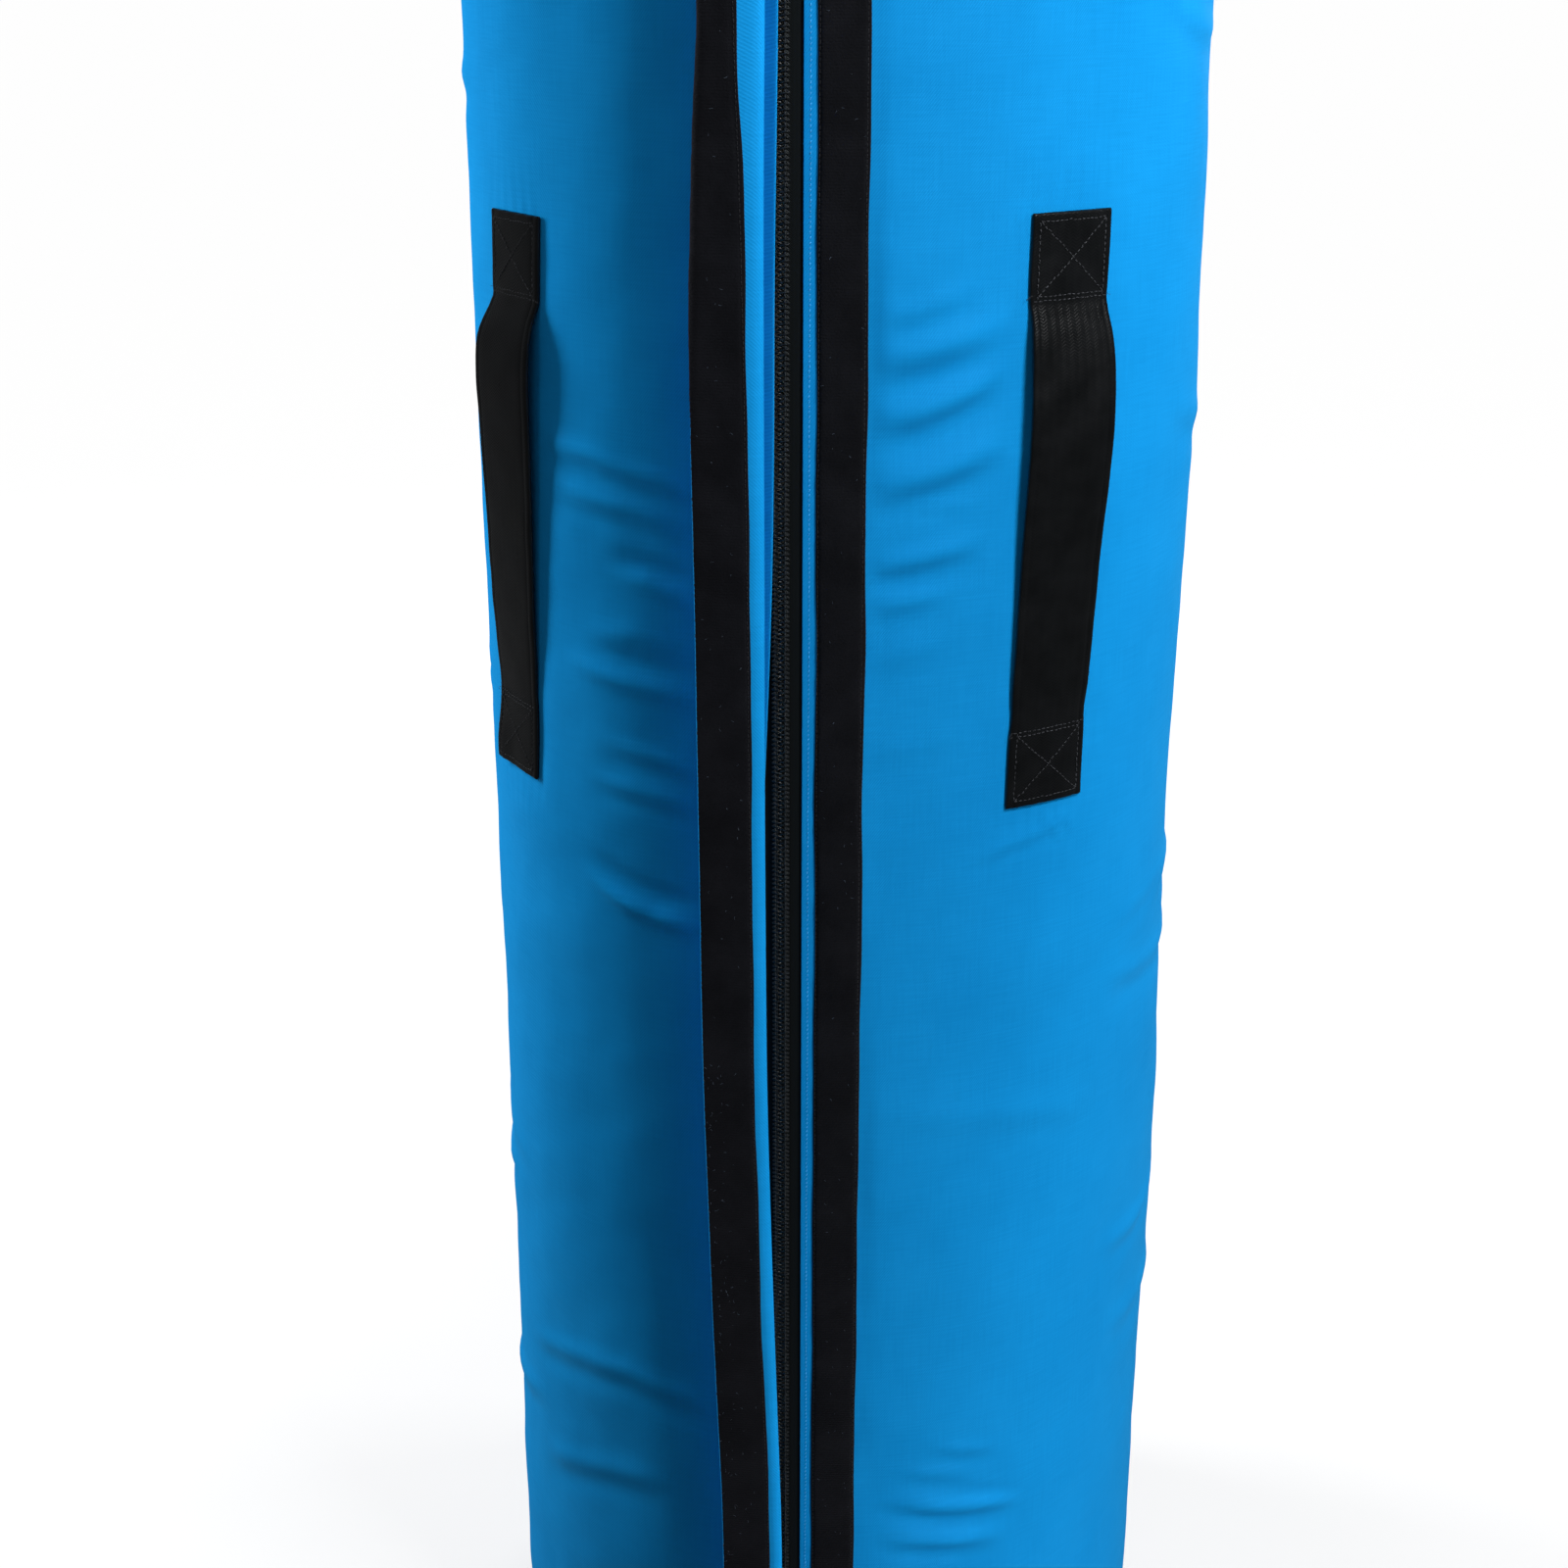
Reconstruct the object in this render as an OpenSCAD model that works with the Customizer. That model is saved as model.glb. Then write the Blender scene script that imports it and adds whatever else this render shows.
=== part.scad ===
// Free standing bag: a tall foam filled training bag in a zipped fabric cover.
// The origin is at the centre of the base, on the floor. +Z is up and the
// zip faces -Y. Everything is in millimetres.

/* [Bag] */
// Outer diameter of the filled cover
bag_d = 410; // [380:2:440]
// Height from the floor to the crown of the top
bag_h = 1500; // [1300:10:1700]
// How much the top is crowned at its middle
top_crown = 12; // [6:1:20]
// Thickness of the cover fabric with its backing
cover_t = 1.2; // [0.8:0.1:1.4]
// Thickness of the cord piping in the end seams
piping_d = 6; // [4:0.5:7]

/* [Filling] */
// Diameter of the dense foam core
core_d = 320; // [280:5:330]
// Thickness of the foam pad under the top
top_pad_t = 46; // [30:1:60]
// Height of the sand ballast bag
ballast_t = 100; // [60:5:130]
// Thickness of the base board
board_t = 12; // [9:1:18]

/* [Zip] */
// Distance from the floor to the bottom end of the zip
zip_z0 = 45; // [35:1:80]
// Distance from the top of the bag to the top end of the zip
zip_top_gap = 45; // [40:1:80]
// Width of one zip tape
tape_w = 17.3; // [14:0.1:18]
// Half of the slot in the cover that the zip shows through
slot_half = 11; // [9.5:0.5:12]
// Length of the slider
slider_l = 20; // [16:1:24]
// Length of the puller tab
puller_l = 34; // [20:1:36]

/* [Storm flap] */
// Thickness of the doubled flap fabric
flap_t = 1.4; // [1:0.1:1.6]
// Gap from the flap's top end to the top end of the zip, where the slider parks
flap_top_gap = 60; // [60:5:120]
// Angle that the root panel turns through from open to closed
flap_root_angle = 44; // [40:1:60]
// Angle that the outer panel turns through on the root panel
flap_fold_angle = 144; // [110:1:144]
// Width of the hook strip
hook_w = 30; // [27:0.5:30]
// Width of the loop strip
loop_w = 25; // [20:1:25]

/* [Handles] */
// Width of the handle webbing
strap_w = 50; // [38:1:50]
// Thickness of the handle webbing
strap_t = 2.5; // [1.8:0.1:3]
// Length of a handle from sewn end to sewn end
handle_l = 313; // [260:1:340]
// Height of the middle of the handles above the floor
handle_z = 800; // [600:5:1000]
// Clear gap behind the middle of a handle
grip_gap = 10; // [10:0.5:18]
// Length of the sewn box at each end of a handle
sewn_l = 45; // [35:1:50]
// Angle of the front left handle, from the zip towards +X
handle_turn = -48; // [-55:1:-45]

/* [Hidden] */
$fn = 256;
bag_r = bag_d / 2;
skin_r = bag_r - cover_t;            // inside of the cover
wrap_r = skin_r - 0.4;               // outside of the foam wrap
core_r = core_d / 2;
pipe_r = piping_d / 2;
pipe_c = bag_r - 1;                  // radius of the piping's centre line
end_r = pipe_c - pipe_r - 0.2;       // radius of the top and base discs
base_t = 2;
pipe_z0 = pipe_r + 1;
top_edge_z = bag_h - top_crown - 0.6;
pipe_z1 = top_edge_z + 0.6;
zip_z1 = bag_h - zip_top_gap;
board_z0 = base_t + 0.3;
board_z1 = board_z0 + board_t;
ballast_z0 = board_z1 + 0.3;
ballast_z1 = ballast_z0 + ballast_t;
foam_z1 = bag_h - 14 - top_pad_t;

// zip section: heights are measured outwards from the cover's outside
tape_r1 = bag_r - 1.5;
tape_r0 = bag_r - 2.2;
gap_half = 1.7;                      // half of the gap between the coils
coil_x1 = 5.3;
coil_h0 = -1.3;
coil_h1 = 1.6;
slider_w = 12.6;
slider_z = zip_z1 - 19;              // middle of the slider, at rest
plate_h0 = 2.0;
plate_h1 = 3.4;
back_h0 = -4.2;
back_h1 = -2.8;
pin_h = 4.8;                         // puller axis
pin_r = 0.75;
puller_w = 10;

blue = [0.06, 0.48, 0.78];
blue_dark = [0.04, 0.38, 0.64];
black = [0.09, 0.09, 0.11];
soft_black = [0.13, 0.13, 0.15];
coal = [0.18, 0.18, 0.2];
steel = [0.3, 0.31, 0.33];

// a point of the front section: s to the right, h outwards from the cover
function front(p) = [p[0], -(bag_r + p[1])];
function unit(v) = v / norm(v);
function perp(v) = [-v[1], v[0]];
function turn(p, c, a) = c + [
    cos(a) * (p[0] - c[0]) - sin(a) * (p[1] - c[1]),
    sin(a) * (p[0] - c[0]) + cos(a) * (p[1] - c[1])];
function normal_at(p, i) =
    let(n = len(p) - 1,
        a = unit(i > 0 ? p[i] - p[i - 1] : p[1] - p[0]),
        b = unit(i < n ? p[i + 1] - p[i] : p[n] - p[n - 1]),
        m = unit(perp(a) + perp(b)))
    m / (m * perp(a));
// the outline of a band between two offsets of a line
function band(p, t0, t1) = concat(
    [for (i = [0:len(p) - 1]) p[i] + normal_at(p, i) * t1],
    [for (i = [len(p) - 1:-1:0]) p[i] + normal_at(p, i) * t0]);
// a point at radius r of the bag, s to the side
function on_bag(r, s) = [s, sqrt(r * r - s * s) - bag_r];

// storm flap, drawn closed over the zip, then opened
loop_s0 = 18;
loop_r0 = bag_r + 0.1;
loop_r1 = bag_r + 1.9;
hook_t = 1.2;
flap_r = loop_r1 + 0.3 + hook_t + 0.05 + flap_t / 2;   // middle of the closed flap
root_axis = [-12.5, 1.2];
fold_axis = [10.48, 8.79];                       // on the outer face of the fold
inner_closed = [[-12.5, 1.2], [-11.4, 3.9], [-9.5, 6.0], [-7.4, 7.5], [-5, 8.6],
    [-2.5, 9.2], [0, 9.4], [2.5, 9.4], [5, 9.2], [7.5, 8.7], [10, 8.0]];
outer_closed = concat([[10.35, 7.87], [12.4, 6.8], [15.0 + 30 - hook_w, 5.05], [16.4 + 30 - hook_w, 4.15]],
    [for (s = [18.2 + 30 - hook_w, 22.5 + 30 - hook_w, 27 + 30 - hook_w,
        33, 37, 40.5, 43.6, 45]) on_bag(flap_r, s)]);
// the hook strip lies along the underside of the outer panel
hook_line = [for (i = [2:len(outer_closed) - 2])
    outer_closed[i] - normal_at(outer_closed, i) * (flap_t / 2 + hook_t / 2 + 0.05)];
function open_inner(p) = turn(p, root_axis, flap_root_angle);
function open_outer(p) = open_inner(turn(p, fold_axis, flap_fold_angle));

module front_band(r0, r1, x0, x1) {
    intersection() {
        difference() {
            circle(r1);
            circle(r0);
        }
        translate([x0, -r1 - 5]) square([x1 - x0, 60]);
    }
}

module torus(rc, rt, z) {
    translate([0, 0, z]) rotate_extrude() translate([rc, 0]) circle(rt, $fn = 48);
}

// ---- cover ----
module cover_panel() {
    color(blue) difference() {
        translate([0, 0, pipe_z0 + pipe_r + 0.2])
            linear_extrude(pipe_z1 - pipe_r - 0.2 - (pipe_z0 + pipe_r + 0.2))
                difference() {
                    circle(bag_r);
                    circle(skin_r);
                }
        translate([-slot_half, -bag_r - 5, zip_z0])
            cube([2 * slot_half, 20, zip_z1 - zip_z0]);
    }
}

function crown(r) = top_edge_z + top_crown * (1 - (r / end_r) * (r / end_r));

module cover_top() {
    n = 18;
    color(blue) rotate_extrude() polygon(concat(
        [for (i = [0:n]) [end_r * i / n, crown(end_r * i / n) + 0.6]],
        [for (i = [n:-1:0]) [end_r * i / n, crown(end_r * i / n) - 0.6]]));
}

module cover_base() {
    color(soft_black) cylinder(h = base_t, r = end_r);
}

module top_piping() { color(blue_dark) torus(pipe_c, pipe_r, pipe_z1); }
module base_piping() { color(blue_dark) torus(pipe_c, pipe_r, pipe_z0); }

// ---- filling ----
module foam_core() {
    color("khaki") translate([0, 0, ballast_z1 + 0.3])
        cylinder(h = foam_z1 - ballast_z1 - 0.3, r = core_r);
}

// the shallow channel in the foam behind the zip
module zip_channel() {
    difference() {
        translate([-gap_half - tape_w - 0.8, -bag_r - 5])
            square([2 * (gap_half + tape_w + 0.8), 40]);
        circle(tape_r0 - 0.4);
    }
    translate([-8.5, -bag_r - 5]) square([17, 5 + 4.8]);
}

module foam_wrap() {
    // one sheet rolled round the core, with its butt joint at the back
    color("wheat") translate([0, 0, ballast_z0]) linear_extrude(foam_z1 - ballast_z0)
        difference() {
            circle(wrap_r);
            circle(core_r + 0.3);
            translate([-0.5, 100]) square([1, 200]);
            zip_channel();
        }
}

module top_pad() {
    n = 12;
    color("khaki") difference() {
        rotate_extrude() polygon(concat(
            [[0, foam_z1 + 0.3], [wrap_r, foam_z1 + 0.3], [wrap_r, pipe_z1 - pipe_r - 3]],
            [for (i = [n:-1:0]) let(r = (end_r - 1.5) * i / n) [r, crown(r) - 0.9]]));
        translate([0, 0, foam_z1 - 5]) linear_extrude(zip_z1 + 1 - foam_z1 + 5) zip_channel();
    }
}

module base_board() {
    color("burlywood") translate([0, 0, board_z0]) cylinder(h = board_t, r = end_r - 0.8);
}

module ballast_bag() {
    e = 8;
    color("gray") translate([0, 0, ballast_z0]) rotate_extrude() union() {
        square([core_r - 0.2 - e, ballast_t]);
        translate([0, e]) square([core_r - 0.2, ballast_t - 2 * e]);
        translate([core_r - 0.2 - e, e]) circle(e, $fn = 48);
        translate([core_r - 0.2 - e, ballast_t - e]) circle(e, $fn = 48);
    }
}

// ---- zip ----
module zip_tape(side) {
    color(black) translate([0, 0, zip_z0]) linear_extrude(zip_z1 - zip_z0)
        front_band(tape_r0, tape_r1,
            side > 0 ? gap_half : -gap_half - tape_w,
            side > 0 ? gap_half + tape_w : -gap_half);
}
module zip_tape_left() { zip_tape(-1); }
module zip_tape_right() { zip_tape(1); }

module zip_coil(side) {
    x0 = side > 0 ? gap_half : -coil_x1;
    w = coil_x1 - gap_half;
    color(coal) translate([0, 0, zip_z0 + 7]) linear_extrude(zip_z1 - zip_z0 - 13)
        translate([x0, -bag_r - coil_h1]) union() {
            translate([0, 0.6]) square([w, coil_h1 - coil_h0 - 0.6]);
            translate([0.6, 0]) square([w - 1.2, 1.2]);
            translate([0.6, 0.6]) circle(0.6, $fn = 24);
            translate([w - 0.6, 0.6]) circle(0.6, $fn = 24);
        }
}
module zip_coil_left() { zip_coil(-1); }
module zip_coil_right() { zip_coil(1); }

module zip_end_stops() {
    color(steel) {
        for (s = [-1, 1])
            translate([s > 0 ? gap_half : -coil_x1 - 0.3, -bag_r - 2, zip_z1 - 5.7])
                cube([coil_x1 + 0.3 - gap_half, 3.2, 3.7]);
        translate([-coil_x1 - 0.3, -bag_r - 2, zip_z0 + 2]) cube([2 * coil_x1 + 0.6, 3.2, 4.5]);
    }
}

// a plate in the plane of the chain, between two heights
module plate(outline, h0, h1) {
    translate([0, -bag_r - h0, slider_z]) rotate([90, 0, 0]) linear_extrude(h1 - h0)
        polygon(outline);
}

module zip_slider() {
    a = slider_w / 2;
    b = slider_l / 2;
    shape = [[-a, -b + 1.5], [-a + 1.2, -b], [a - 1.2, -b], [a, -b + 1.5],
        [a, b - 3], [a - 2.4, b], [1.6, b], [0, b - 1.6], [-1.6, b], [-a + 2.4, b], [-a, b - 3]];
    color(steel) difference() {
        union() {
            plate(shape, plate_h0, plate_h1);
            plate(shape, back_h0, back_h1);
            for (s = [-1, 1]) {
                translate([s > 0 ? a - 0.6 : -a, -bag_r - plate_h0 - 0.2, slider_z - b + 1.5])
                    cube([0.6, 1.9, slider_l - 4.5]);
            }
            // the wedge between the coils, and the lug for the puller
            translate([-1.3, -bag_r - plate_h0 - 0.2, slider_z + 1])
                cube([2.6, plate_h0 - back_h1 + 0.4, 6]);
            translate([-1.3, -bag_r - pin_h, slider_z]) rotate([0, 90, 0])
                cylinder(h = 2.6, r = 1.9, $fn = 48);
            translate([-1.3, -bag_r - pin_h, slider_z - 2.5])
                cube([2.6, pin_h - plate_h1 + 0.2, 5]);
        }
        translate([-3, -bag_r - pin_h, slider_z]) rotate([0, 90, 0])
            cylinder(h = 6, r = pin_r + 0.25, $fn = 48);
    }
}

module zip_puller() {
    a = puller_w / 2;
    color(steel) {
        translate([-a, -bag_r - pin_h, slider_z]) rotate([0, 90, 0])
            cylinder(h = puller_w, r = pin_r, $fn = 48);
        difference() {
            plate([[-a, 0], [-a, -9], [-3.4, -14], [-3.4, -puller_l + 3],
                [-2.2, -puller_l + 0.6], [0, -puller_l], [2.2, -puller_l + 0.6],
                [3.4, -puller_l + 3], [3.4, -14], [a, -9], [a, 0]],
                pin_h - pin_r, pin_h + pin_r);
            translate([-1.7, -bag_r - pin_h - 2, slider_z - 5.5]) cube([3.4, 4, 7]);
        }
    }
}

// ---- storm flap ----
module flap_solid(points) {
    translate([0, 0, zip_z0]) linear_extrude(zip_z1 - flap_top_gap - zip_z0)
        polygon([for (p = points) front(p)]);
}
module storm_flap_inner() {
    color(blue) flap_solid([for (p = band(inner_closed, -flap_t / 2, flap_t / 2)) open_inner(p)]);
}
module storm_flap_outer() {
    color(blue) flap_solid([for (p = band(outer_closed, -flap_t / 2, flap_t / 2)) open_outer(p)]);
}
module hook_strip() {
    color(black) flap_solid([for (p = band(hook_line, -hook_t / 2, hook_t / 2)) open_outer(p)]);
}
module loop_strip() {
    color(black) translate([0, 0, zip_z0]) linear_extrude(zip_z1 - flap_top_gap - zip_z0)
        front_band(loop_r0, loop_r1, loop_s0, loop_s0 + loop_w);
}

// ---- handles ----
ramp_l = 28;
ramp_z = sewn_l + ramp_l;            // where the strap reaches its full gap
half_l = handle_l / 2;

module strap_profile(points) {
    translate([-strap_w / 2, 0, 0]) rotate([90, 0, 90]) linear_extrude(strap_w)
        polygon([for (p = points) [-(bag_r + p[1]), p[0]]]);
}

// one end: the sewn box lies on the cover, and a ramp lifts the strap off it
module handle_end() {
    g = 0.1;
    mirror([0, 0, 1]) translate([0, 0, -half_l]) {
        linear_extrude(sewn_l) front_band(bag_r + g, bag_r + g + strap_t, -strap_w / 2, strap_w / 2);
        difference() {
            strap_profile([[sewn_l - 1, g - 3], [sewn_l - 1, g + strap_t - 0.4],
                [sewn_l + 7, 5.4], [ramp_z - 8, grip_gap + strap_t - 2.6],
                [ramp_z, grip_gap + strap_t - 0.3], [ramp_z + 6, grip_gap + strap_t],
                [ramp_z + 6, grip_gap], [ramp_z, grip_gap - 0.3],
                [ramp_z - 7, grip_gap - 2.9], [sewn_l + 8, 2.6], [sewn_l + 1, g - 3]]);
            translate([0, 0, -10]) cylinder(h = handle_l, r = bag_r + g);
        }
    }
}

module handle_ends(turned) {
    color(black) rotate([0, 0, turned]) translate([0, 0, handle_z]) {
        handle_end();
        mirror([0, 0, 1]) handle_end();
    }
}

// the middle of the strap, which swings sideways between its sewn ends
module handle_grip(turned) {
    z1 = half_l - ramp_z - 6 - 0.5;
    color(soft_black) rotate([0, 0, turned]) translate([-strap_w / 2, -bag_r - grip_gap - strap_t, handle_z - z1])
        cube([strap_w, strap_t, 2 * z1]);
}

module handle_front_left_ends() { handle_ends(handle_turn); }
module handle_front_left_grip() { handle_grip(handle_turn); }
module handle_front_right_ends() { handle_ends(handle_turn + 90); }
module handle_front_right_grip() { handle_grip(handle_turn + 90); }
module handle_back_right_ends() { handle_ends(handle_turn + 180); }
module handle_back_right_grip() { handle_grip(handle_turn + 180); }
module handle_back_left_ends() { handle_ends(handle_turn + 270); }
module handle_back_left_grip() { handle_grip(handle_turn + 270); }

cover_panel();
cover_top();
cover_base();
top_piping();
base_piping();
zip_tape_left();
zip_tape_right();
zip_coil_left();
zip_coil_right();
zip_end_stops();
zip_slider();
zip_puller();
storm_flap_inner();
storm_flap_outer();
hook_strip();
loop_strip();
handle_front_left_ends();
handle_front_left_grip();
handle_front_right_ends();
handle_front_right_grip();
handle_back_right_ends();
handle_back_right_grip();
handle_back_left_ends();
handle_back_left_grip();
foam_core();
foam_wrap();
top_pad();
base_board();
ballast_bag();
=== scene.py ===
import bmesh
import bpy
import math
import numpy as np
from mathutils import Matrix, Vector


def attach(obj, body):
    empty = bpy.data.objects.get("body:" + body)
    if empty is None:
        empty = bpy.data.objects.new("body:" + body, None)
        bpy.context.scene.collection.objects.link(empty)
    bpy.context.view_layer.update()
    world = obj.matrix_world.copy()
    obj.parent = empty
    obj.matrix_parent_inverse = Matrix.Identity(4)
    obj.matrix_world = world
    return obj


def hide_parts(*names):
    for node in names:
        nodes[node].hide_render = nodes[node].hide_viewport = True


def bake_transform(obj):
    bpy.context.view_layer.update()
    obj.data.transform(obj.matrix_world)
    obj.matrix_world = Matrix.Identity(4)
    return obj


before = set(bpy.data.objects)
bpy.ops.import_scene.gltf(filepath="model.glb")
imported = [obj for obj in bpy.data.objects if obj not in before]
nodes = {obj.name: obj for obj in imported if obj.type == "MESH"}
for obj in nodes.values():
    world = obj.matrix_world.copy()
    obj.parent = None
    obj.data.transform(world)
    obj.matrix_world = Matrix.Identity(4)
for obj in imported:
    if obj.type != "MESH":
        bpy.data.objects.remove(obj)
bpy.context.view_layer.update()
scene = bpy.context.scene

MM = 0.001
R = 205.0            # outside of the cover, mm
TAU = 2 * math.pi
GIRTH = TAU * R


# ------------------------------------------------------------------ camera
CAM_AZ, CAM_D, CAM_H = math.radians(7.6), 1.369, 1.092
CAM_TURN, CAM_PITCH = math.radians(8.85), math.radians(19.95)
LENS, SENSOR = 53.98, 36.0
FOCAL = LENS / SENSOR * 1600.0
CAM_P = np.array([CAM_D * math.sin(CAM_AZ), -CAM_D * math.cos(CAM_AZ), CAM_H])

cam_data = bpy.data.cameras.new("camera")
cam_data.sensor_width = SENSOR
cam_data.lens = LENS
cam_data.clip_start = 0.02
cam_data.clip_end = 100.0
cam = bpy.data.objects.new("camera", cam_data)
cam.location = Vector(CAM_P)
cam.rotation_euler = (math.pi / 2 - CAM_PITCH, 0.0, CAM_TURN)
scene.collection.objects.link(cam)
scene.camera = cam


def on_cover(x, y, radius=None):
    """A point of the 1600 x 1600 frame, carried on to the cover: (arc from the zip, height), in mm."""
    radius = R if radius is None else radius
    c, s = math.cos(CAM_TURN), math.sin(CAM_TURN)
    cp, sp = math.cos(CAM_PITCH), math.sin(CAM_PITCH)
    fw = np.array([-s * cp, c * cp, -sp])
    rt = np.array([c, s, 0.0])
    up = np.cross(rt, fw)
    d = fw + (x - 800) / FOCAL * rt - (y - 800) / FOCAL * up
    a = d[0] ** 2 + d[1] ** 2
    b = CAM_P[0] * d[0] + CAM_P[1] * d[1]
    q = CAM_P[0] ** 2 + CAM_P[1] ** 2 - (radius * MM) ** 2
    disc = max(b * b - a * q, 0.0)
    t = (-b - math.sqrt(disc)) / a
    p = CAM_P + t * d
    return math.atan2(p[0], -p[1]) * R, p[2] * 1000.0


# ------------------------------------------------------------------ small maths
def smooth(x, a, b):
    t = np.clip((np.asarray(x, float) - a) / (b - a), 0, 1)
    return t * t * (3 - 2 * t)


def waves(seed, n, low, high, around=False):
    """A smooth random field made of n sine waves whose lengths lie from low to high, in mm."""
    rng = np.random.RandomState(seed)
    k = TAU / np.exp(rng.uniform(math.log(low), math.log(high), n))
    a = rng.uniform(0, TAU, n)
    ku, kz = k * np.cos(a), k * np.sin(a)
    ku = np.round(ku * GIRTH / TAU) * TAU / GIRTH      # closes round the bag
    ph = rng.uniform(0, TAU, n)

    def field(u, z):
        u, z = np.asarray(u, float), np.asarray(z, float)
        out = np.zeros(np.broadcast(u, z).shape)
        for i in range(n):
            out += np.sin(ku[i] * u + kz[i] * z + ph[i])
        return out / math.sqrt(n / 2)
    return field


def wrap(u):
    return (np.asarray(u, float) + GIRTH / 2) % GIRTH - GIRTH / 2


# folds of the loose cover: points on the frame, height mm, half width mm, valley below
FRONT_FOLDS = [
    ([(893, 322), (929, 318), (965, 306), (1000, 290)], 0.55, 6.0, 0.6),
    ([(880, 367), (925, 363), (974, 349), (1030, 328)], 1.15, 8.5, 0.9),
    ([(880, 431), (936, 420), (970, 406), (1008, 387), (1036, 366)], 1.25, 8.0, 0.95),
    ([(880, 502), (929, 490), (963, 480), (998, 464), (1032, 448)], 1.05, 7.5, 0.9),
    ([(930, 518), (960, 516), (990, 511)], 0.3, 3.0, 0.6),
    ([(876, 582), (929, 573), (980, 559), (1010, 548)], 0.95, 6.5, 1.1),
    ([(876, 619), (922, 612), (970, 600)], 0.75, 6.5, 0.6),
    ([(872, 676), (925, 668), (975, 655)], 0.35, 8.0, 0.6),
    ([(870, 767), (930, 764), (1000, 744)], 0.3, 8.0, 0.5),
    ([(872, 860), (930, 855), (985, 838)], 0.25, 9.0, 0.5),
    ([(981, 884), (1030, 862), (1096, 829)], 0.35, 3.6, 0.7),
    ([(1058, 826), (1068, 838), (1080, 852)], 0.35, 2.4, 0.7),
    ([(1074, 822), (1083, 834), (1094, 846)], 0.3, 2.2, 0.7),
    ([(880, 1136), (960, 1139), (1040, 1133), (1113, 1124)], 0.25, 9.0, 0.5),
    ([(945, 1474), (980, 1478), (1016, 1474)], 0.45, 4.2, 0.8),
    ([(918, 1501), (945, 1504), (985, 1501)], 0.4, 4.2, 0.8),
    ([(905, 1533), (950, 1537), (985, 1536), (1040, 1527)], 1.0, 5.5, 1.0),
    ([(895, 1569), (950, 1571), (1020, 1567)], 0.9, 5.5, 0.9),
    ([(555, 447), (599, 463), (635, 479), (670, 489), (728, 512)], 0.7, 5.0, 0.9),
    ([(565, 492), (600, 508), (639, 519), (700, 541)], 0.6, 5.0, 0.8),
    ([(622, 583), (659, 594), (728, 622)], 0.75, 5.0, -0.1),
    ([(580, 670), (607, 683), (635, 694), (655, 700), (728, 717)], 0.75, 4.4, -0.1),
    ([(615, 753), (655, 768), (682, 777), (728, 792)], 0.6, 4.6, 0.8),
    ([(600, 789), (655, 807), (728, 828)], 0.5, 4.6, 0.8),
    ([(598, 888), (640, 920), (668, 934), (703, 945), (732, 949)], 1.25, 4.2, -0.15),
    ([(547, 1357), (600, 1383), (644, 1398), (745, 1441)], 0.45, 7.0, 0.8),
    ([(560, 1475), (620, 1497), (690, 1512)], 0.4, 8.0, 0.8),
    ([(600, 640), (650, 648), (720, 668)], 0.35, 5.0, 0.8),
]
# dark furrows: the same with a negative height
FRONT_FURROWS = [
    ([(599, 655), (640, 672), (690, 686), (728, 694)], -0.6, 4.0),
    ([(620, 566), (660, 576), (728, 598)], -0.6, 4.0),
    ([(602, 868), (642, 898), (672, 912), (730, 925)], -0.9, 4.6),
    ([(878, 1541), (940, 1549), (994, 1555)], -0.35, 3.0),
    ([(967, 1519), (1000, 1521), (1044, 1520)], -0.35, 3.0),
    ([(880, 595), (900, 593), (930, 588)], -0.35, 3.5),
]


def make_folds():
    out = []
    for pts, high, half, valley in FRONT_FOLDS:
        uz = np.array([on_cover(*p) for p in pts])
        uz = uz[np.argsort(uz[:, 0])]
        out.append((uz[:, 0], uz[:, 1], high, half, valley))
    for pts, high, half in FRONT_FURROWS:
        uz = np.array([on_cover(*p) for p in pts])
        uz = uz[np.argsort(uz[:, 0])]
        out.append((uz[:, 0], uz[:, 1], high, half, 0.0))
    # the sides and the back have folds of the same kind
    rng = np.random.RandomState(11)
    for k in range(52):
        side = rng.uniform(255, GIRTH - 255)
        if k % 3 == 0:                       # between and below the handles
            z = rng.uniform(520, 1030)
        elif k % 3 == 1:
            z = rng.uniform(90, 420)
        else:
            z = rng.uniform(1000, 1420)
        length = rng.uniform(70, 190)
        lean = rng.uniform(-0.22, 0.22)
        sag = rng.uniform(-10, 14)
        t = np.linspace(-1, 1, 7)
        out.append((side + t * length / 2, z + lean * t * length / 2 + sag * (t * t - 0.5),
                    rng.uniform(0.15, 0.62), rng.uniform(5.0, 9.0), rng.uniform(0.4, 1.0)))
    return out


FOLDS = make_folds()
soft_low = waves(3, 9, 190, 520)
soft_mid = waves(5, 14, 60, 150)
soft_fine = waves(8, 18, 22, 48)
end_wave = waves(21, 10, 16, 42)
seam_wave = waves(23, 10, 11, 30)


def folds_at(u, z):
    u, z = np.broadcast_arrays(wrap(u), np.asarray(z, float))
    out = np.zeros(u.shape)
    for fu, fz, high, half, valley in FOLDS:
        mid = (fu[0] + fu[-1]) / 2
        uu = mid + wrap(u - mid)
        a, b = fu[0], fu[-1]
        ramp = min(34.0, (b - a) * 0.45)
        win = smooth(uu, a - 6, a + ramp) * (1 - smooth(uu, b - ramp, b + 6))
        near = (win > 0) & (np.abs(z - np.mean(fz)) < np.ptp(fz) + 60 + 4 * half)
        if not near.any():
            continue
        zc = np.interp(uu[near], fu, fz)
        q = (z[near] - zc) / half
        g = np.exp(-q * q) - 0.75 * max(valley, 0.0) * np.exp(-((q + 1.7) / 1.15) ** 2)
        if valley < 0:
            g = np.exp(-q * q)
        out[near] += high * win[near] * g
    return out


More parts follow.
